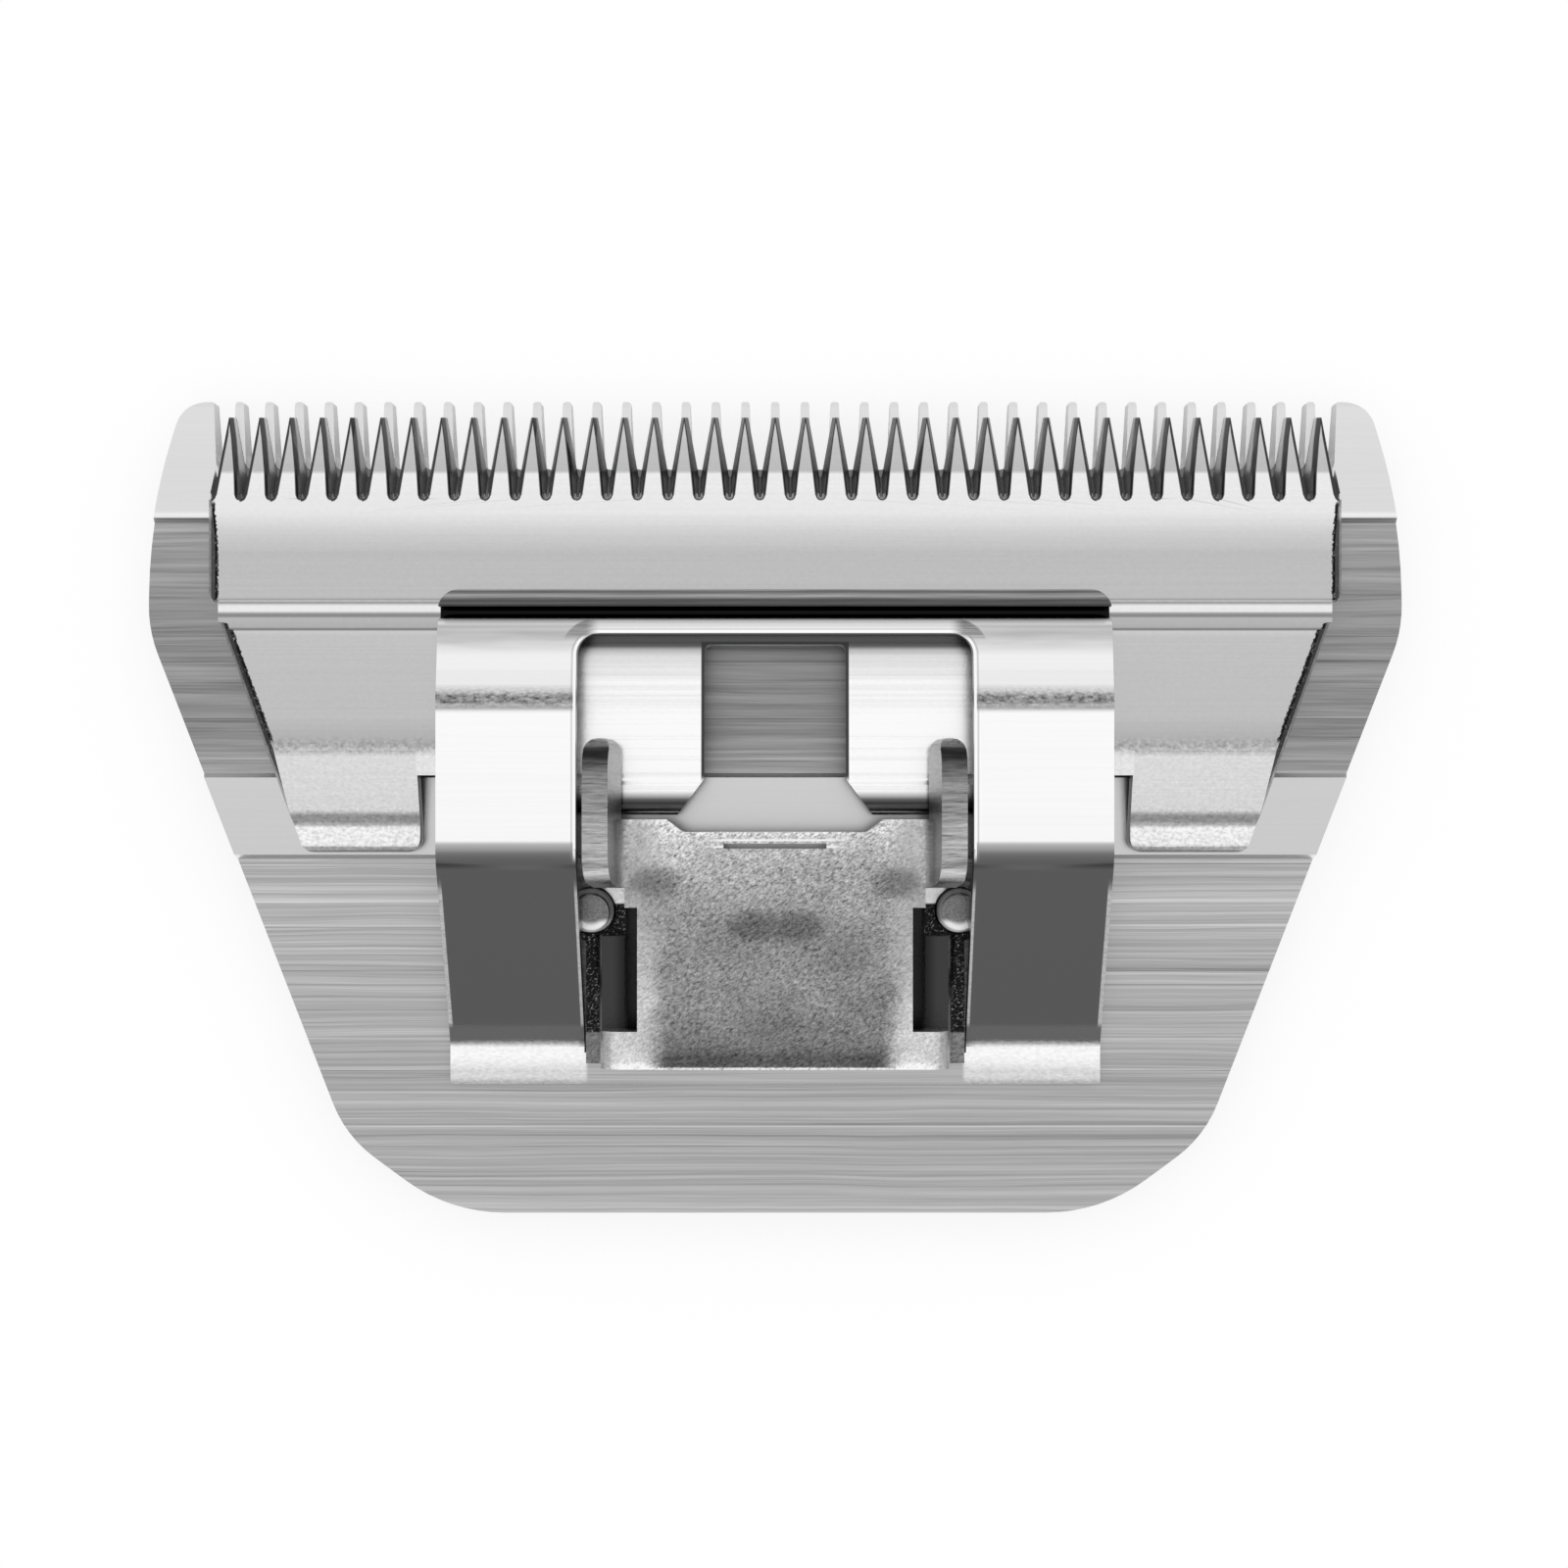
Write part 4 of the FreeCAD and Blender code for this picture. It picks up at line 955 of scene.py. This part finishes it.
@dataclass
class CadPiece:
    """A piece whose shape is the CAD part's own: it gets its finish and worn edges."""

    node: str
    finish: Finish
    edge: float = 0.05
    steps: int = 2
    sharpest: float = 32.0
    weld_gap: float = 0.0002

    def dress(self, nodes: Mapping[str, bpy.types.Object]) -> None:
        """Gives the piece its finish and takes the sharpness off its edges.

        Args:
            nodes: The CAD objects by name.
        """
        piece = nodes[self.node]
        material = self.finish.make()
        for slot in piece.material_slots:
            slot.material = material
        weld = piece.modifiers.new("joined_faces", "WELD")
        weld.merge_threshold = self.weld_gap * MM
        worn = piece.modifiers.new("worn_edges", "BEVEL")
        worn.width, worn.segments = self.edge * MM, self.steps
        worn.limit_method, worn.angle_limit = "ANGLE", math.radians(self.sharpest)
        worn.use_clamp_overlap = True
        LOG.info("dressed %s with %s", self.node, self.finish.name)


@dataclass
class Comb(CadPiece):
    """The lower blade."""

    node: str = "comb"
    finish: Finish = GroundSteel("ground_steel_finish")
    edge: float = 0.045


@dataclass
class Cutter(CadPiece):
    """The upper blade."""

    node: str = "cutter"
    finish: Finish = CutterSteel("cutter_steel_finish")
    edge: float = 0.03


@dataclass
class CutterGuide(CadPiece):
    """The plastic bar between the spring and the cutter."""

    node: str = "cutter_guide"
    finish: Finish = GuidePlastic("guide_plastic_finish")
    edge: float = 0.06


@dataclass
class TensionSpring(CadPiece):
    """The spring that holds the cutter down."""

    node: str = "tension_spring"
    finish: Finish = SpringSteel("spring_steel_finish")
    edge: float = 0.07


@dataclass
class Socket(CadPiece):
    """The folded socket with its two ears."""

    node: str = "socket"
    finish: Finish = SocketSteel("socket_steel_finish")
    edge: float = 0.09


@dataclass
class MountingScrew:
    """A screw with a real thread on its shank and a cross recess in its flat head."""

    node: str
    finish: Finish
    thread_pitch: float = 0.45
    thread_depth: float = 0.16
    shank_radius: float = 1.1
    head_radius: float = 2.0
    head_low: float = 0.15
    head_height: float = 1.0
    head_bevel: float = 0.06
    head_round: float = 0.05
    end_height: float = 5.3
    end_round: float = 0.2
    recess_depth: float = 0.72
    recess_reach: float = 0.2
    recess_length: float = 2.3
    recess_width: float = 0.5
    recess_mouth: float = 1.12
    recess_floor: float = 0.55
    flank_slope: float = 1.35
    around: int = 64
    along: int = 12

    def radius_at(self, height: float, turn: float) -> float:
        """Gives the shank's radius.

        Args:
            height: Height in millimetres.
            turn: Angle as a share of a full turn.

        Returns:
            The radius in millimetres.
        """
        phase = (height / self.thread_pitch - turn) % 1.0
        flank = min(1.0, abs(phase * 2.0 - 1.0) * self.flank_slope)
        left = (self.end_height - height) / self.end_round
        tip = self.shank_radius - self.end_round * (1.0 - min(1.0, max(0.0, left))) ** 2
        groove = self.thread_depth * (1.0 - flank)
        start = min(1.0, max(0.0, (height - self.head_low - self.head_height) / self.thread_pitch))
        return min(tip, self.shank_radius) - groove * start

    def heights(self) -> list[float]:
        """Gives the heights of the shank's rings."""
        low = self.head_low + self.head_height
        count = int((self.end_height - low) / self.thread_pitch * self.along)
        return [low + (self.end_height - low) * index / count for index in range(count + 1)]

    def rings(self) -> list[list[tuple[float, float]]]:
        """Gives the radius and height of every point, ring by ring from the head upward."""
        side = self.head_low + self.head_round
        edge = ((self.head_radius - self.head_bevel, self.head_low), (self.head_radius, side))
        rings = [[place] * self.around for place in edge]
        for height in self.heights():
            turns = [turn / self.around for turn in range(self.around)]
            rings.append([(self.radius_at(height, turn), height) for turn in turns])
        return rings

    def build(self, centre: Vector) -> bpy.types.Object:
        """Builds the screw standing on its head.

        Args:
            centre: Where its axis is.

        Returns:
            The screw.
        """
        mesh = bmesh.new()
        layers = []
        for ring in self.rings():
            layer = []
            for turn, (radius, height) in enumerate(ring):
                angle = 2.0 * math.pi * turn / self.around
                across, along = radius * math.cos(angle), radius * math.sin(angle)
                layer.append(mesh.verts.new((across * MM, along * MM, height * MM)))
            layers.append(layer)
        for lower, upper in zip(layers, layers[1:]):
            for turn in range(self.around):
                after = (turn + 1) % self.around
                mesh.faces.new((lower[turn], lower[after], upper[after], upper[turn]))
        mesh.faces.new(list(reversed(layers[0])))
        mesh.faces.new(layers[-1])
        for face in mesh.faces:
            face.smooth = len(face.verts) == 4
        screw = self.link(self.node + "_threaded", mesh)
        self.press_recess(screw)
        screw.location = (centre.x, centre.y, 0.0)
        screw.data.materials.append(self.finish.make())
        return screw

    @staticmethod
    def link(name: str, mesh: bmesh.types.BMesh) -> bpy.types.Object:
        """Makes an object of a mesh that was built, and frees the mesh."""
        data = bpy.data.meshes.new(name)
        mesh.to_mesh(data)
        mesh.free()
        made = bpy.data.objects.new(name, data)
        bpy.context.scene.collection.objects.link(made)
        return made

    def add_arm(self, punch: bmesh.types.BMesh, turned: bool) -> None:
        """Adds one tapering arm of the cross.

        Args:
            punch: The mesh of the punch.
            turned: Whether the arm runs along Y.
        """
        low, high = self.head_low - self.recess_reach, self.head_low + self.recess_depth
        corners = []
        for height, share in ((low, self.recess_mouth), (high, self.recess_floor)):
            half_long = self.recess_length / 2 * share
            half_short = self.recess_width / 2 * (0.5 + share / 2)
            for side_x, side_y in ((-1, -1), (1, -1), (1, 1), (-1, 1)):
                across, along = side_x * half_long, side_y * half_short
                if turned:
                    across, along = -along, across
                corners.append(punch.verts.new((across * MM, along * MM, height * MM)))
        bottom, top = corners[:4], corners[4:]
        punch.faces.new(list(reversed(bottom)))
        punch.faces.new(top)
        for index in range(4):
            after = (index + 1) % 4
            punch.faces.new((bottom[index], bottom[after], top[after], top[index]))

    def press_recess(self, screw: bpy.types.Object) -> None:
        """Presses a tapering cross into the head.

        Args:
            screw: The screw, before it is moved to its place.
        """
        punch = bmesh.new()
        for turned in (False, True):
            self.add_arm(punch, turned)
        tool = self.link("recess_punch", punch)
        press = screw.modifiers.new("recess", "BOOLEAN")
        press.operation, press.solver, press.use_self = "DIFFERENCE", "EXACT", True
        press.object = tool
        bpy.context.view_layer.update()
        shaped = bpy.data.meshes.new_from_object(
            screw.evaluated_get(bpy.context.evaluated_depsgraph_get())
        )
        screw.modifiers.remove(press)
        screw.data = shaped
        bpy.data.objects.remove(tool)

    def fit(self) -> None:
        """Builds the screw in place of the plain one and lets it ride with the comb."""
        low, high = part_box(self.node)
        screw = self.build((low + high) / 2)
        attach(screw, "blade_base")
        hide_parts(self.node)
        LOG.info("built %s with %d faces", screw.name, len(screw.data.polygons))


@dataclass
class Studio:
    """The floor, the light and the camera."""

    floor_half: float = 0.6
    floor_gap: float = 0.0002
    camera_place: tuple[float, float, float] = (0.00043, 0.00118, 0.123)
    view_half_width: float = 0.03956
    sensor: float = 36.0
    zenith: float = 1.0
    horizon: float = 0.55
    flag: float = 0.3
    clip_near: float = 0.005
    clip_far: float = 10.0

    def build(self) -> None:
        """Builds all of it."""
        self.lay_floor()
        self.light_world()
        self.set_camera()
        bpy.context.scene.view_settings.view_transform = "Standard"
        LOG.info("studio ready")

    def lay_floor(self) -> None:
        """Lays the floor under the comb."""
        half, height = self.floor_half, -self.floor_gap
        mesh = bpy.data.meshes.new("floor")
        corners = [(-half, -half), (half, -half), (half, half), (-half, half)]
        mesh.from_pydata([(x, y, height) for x, y in corners], [], [(0, 1, 2, 3)])
        floor = bpy.data.objects.new("floor", mesh)
        bpy.context.scene.collection.objects.link(floor)
        floor.data.materials.append(FloorPaper("floor_paper").make())

    def light_world(self) -> None:
        """Lights the scene from a soft dome: bright above, grayer low down, darkest behind."""
        world = bpy.data.worlds.new("studio_dome")
        bpy.context.scene.world = world
        world.use_nodes = True
        graph = Graph(world.node_tree)
        _, y, z = graph.split(graph.add("ShaderNodeTexCoord", output="Generated"))
        dome = self.horizon + z.over(0.15, 0.75) * (self.zenith - self.horizon)
        behind = (-y).over(0.35, 0.8) * z.over(0.72, 0.6)
        level = dome.toward(self.flag, behind)
        rays = graph.add("ShaderNodeLightPath").socket.node
        seen = Signal(graph, rays.outputs["Is Camera Ray"])
        glow = graph.add(
            "ShaderNodeBackground",
            feeds={"Color": (1.0, 1.0, 1.0, 1.0), "Strength": level.toward(1.0, seen)},
        )
        graph.add("ShaderNodeOutputWorld", feeds={"Surface": glow})

    def set_camera(self) -> None:
        """Looks straight down at the blade set with its teeth at the top of the picture."""
        data = bpy.data.cameras.new("camera")
        camera = bpy.data.objects.new("camera", data)
        bpy.context.scene.collection.objects.link(camera)
        camera.location = Vector(self.camera_place)
        camera.rotation_euler = (0.0, 0.0, 0.0)
        data.sensor_width = self.sensor
        data.lens = self.sensor / 2 * self.camera_place[2] / self.view_half_width
        data.clip_start, data.clip_end = self.clip_near, self.clip_far
        bpy.context.scene.camera = camera


def main() -> None:
    """Loads the CAD parts, dresses them and sets up the studio."""
    logging.basicConfig(level=logging.INFO, format="%(message)s")
    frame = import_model()
    for piece in (Comb(), Cutter(), CutterGuide(), TensionSpring(), Socket()):
        piece.dress(frame["nodes"])
    for side in ("left", "right"):
        MountingScrew("screw_" + side, ScrewSteel("screw_steel_finish")).fit()
    Studio().build()


if __name__ == "__main__":
    main()
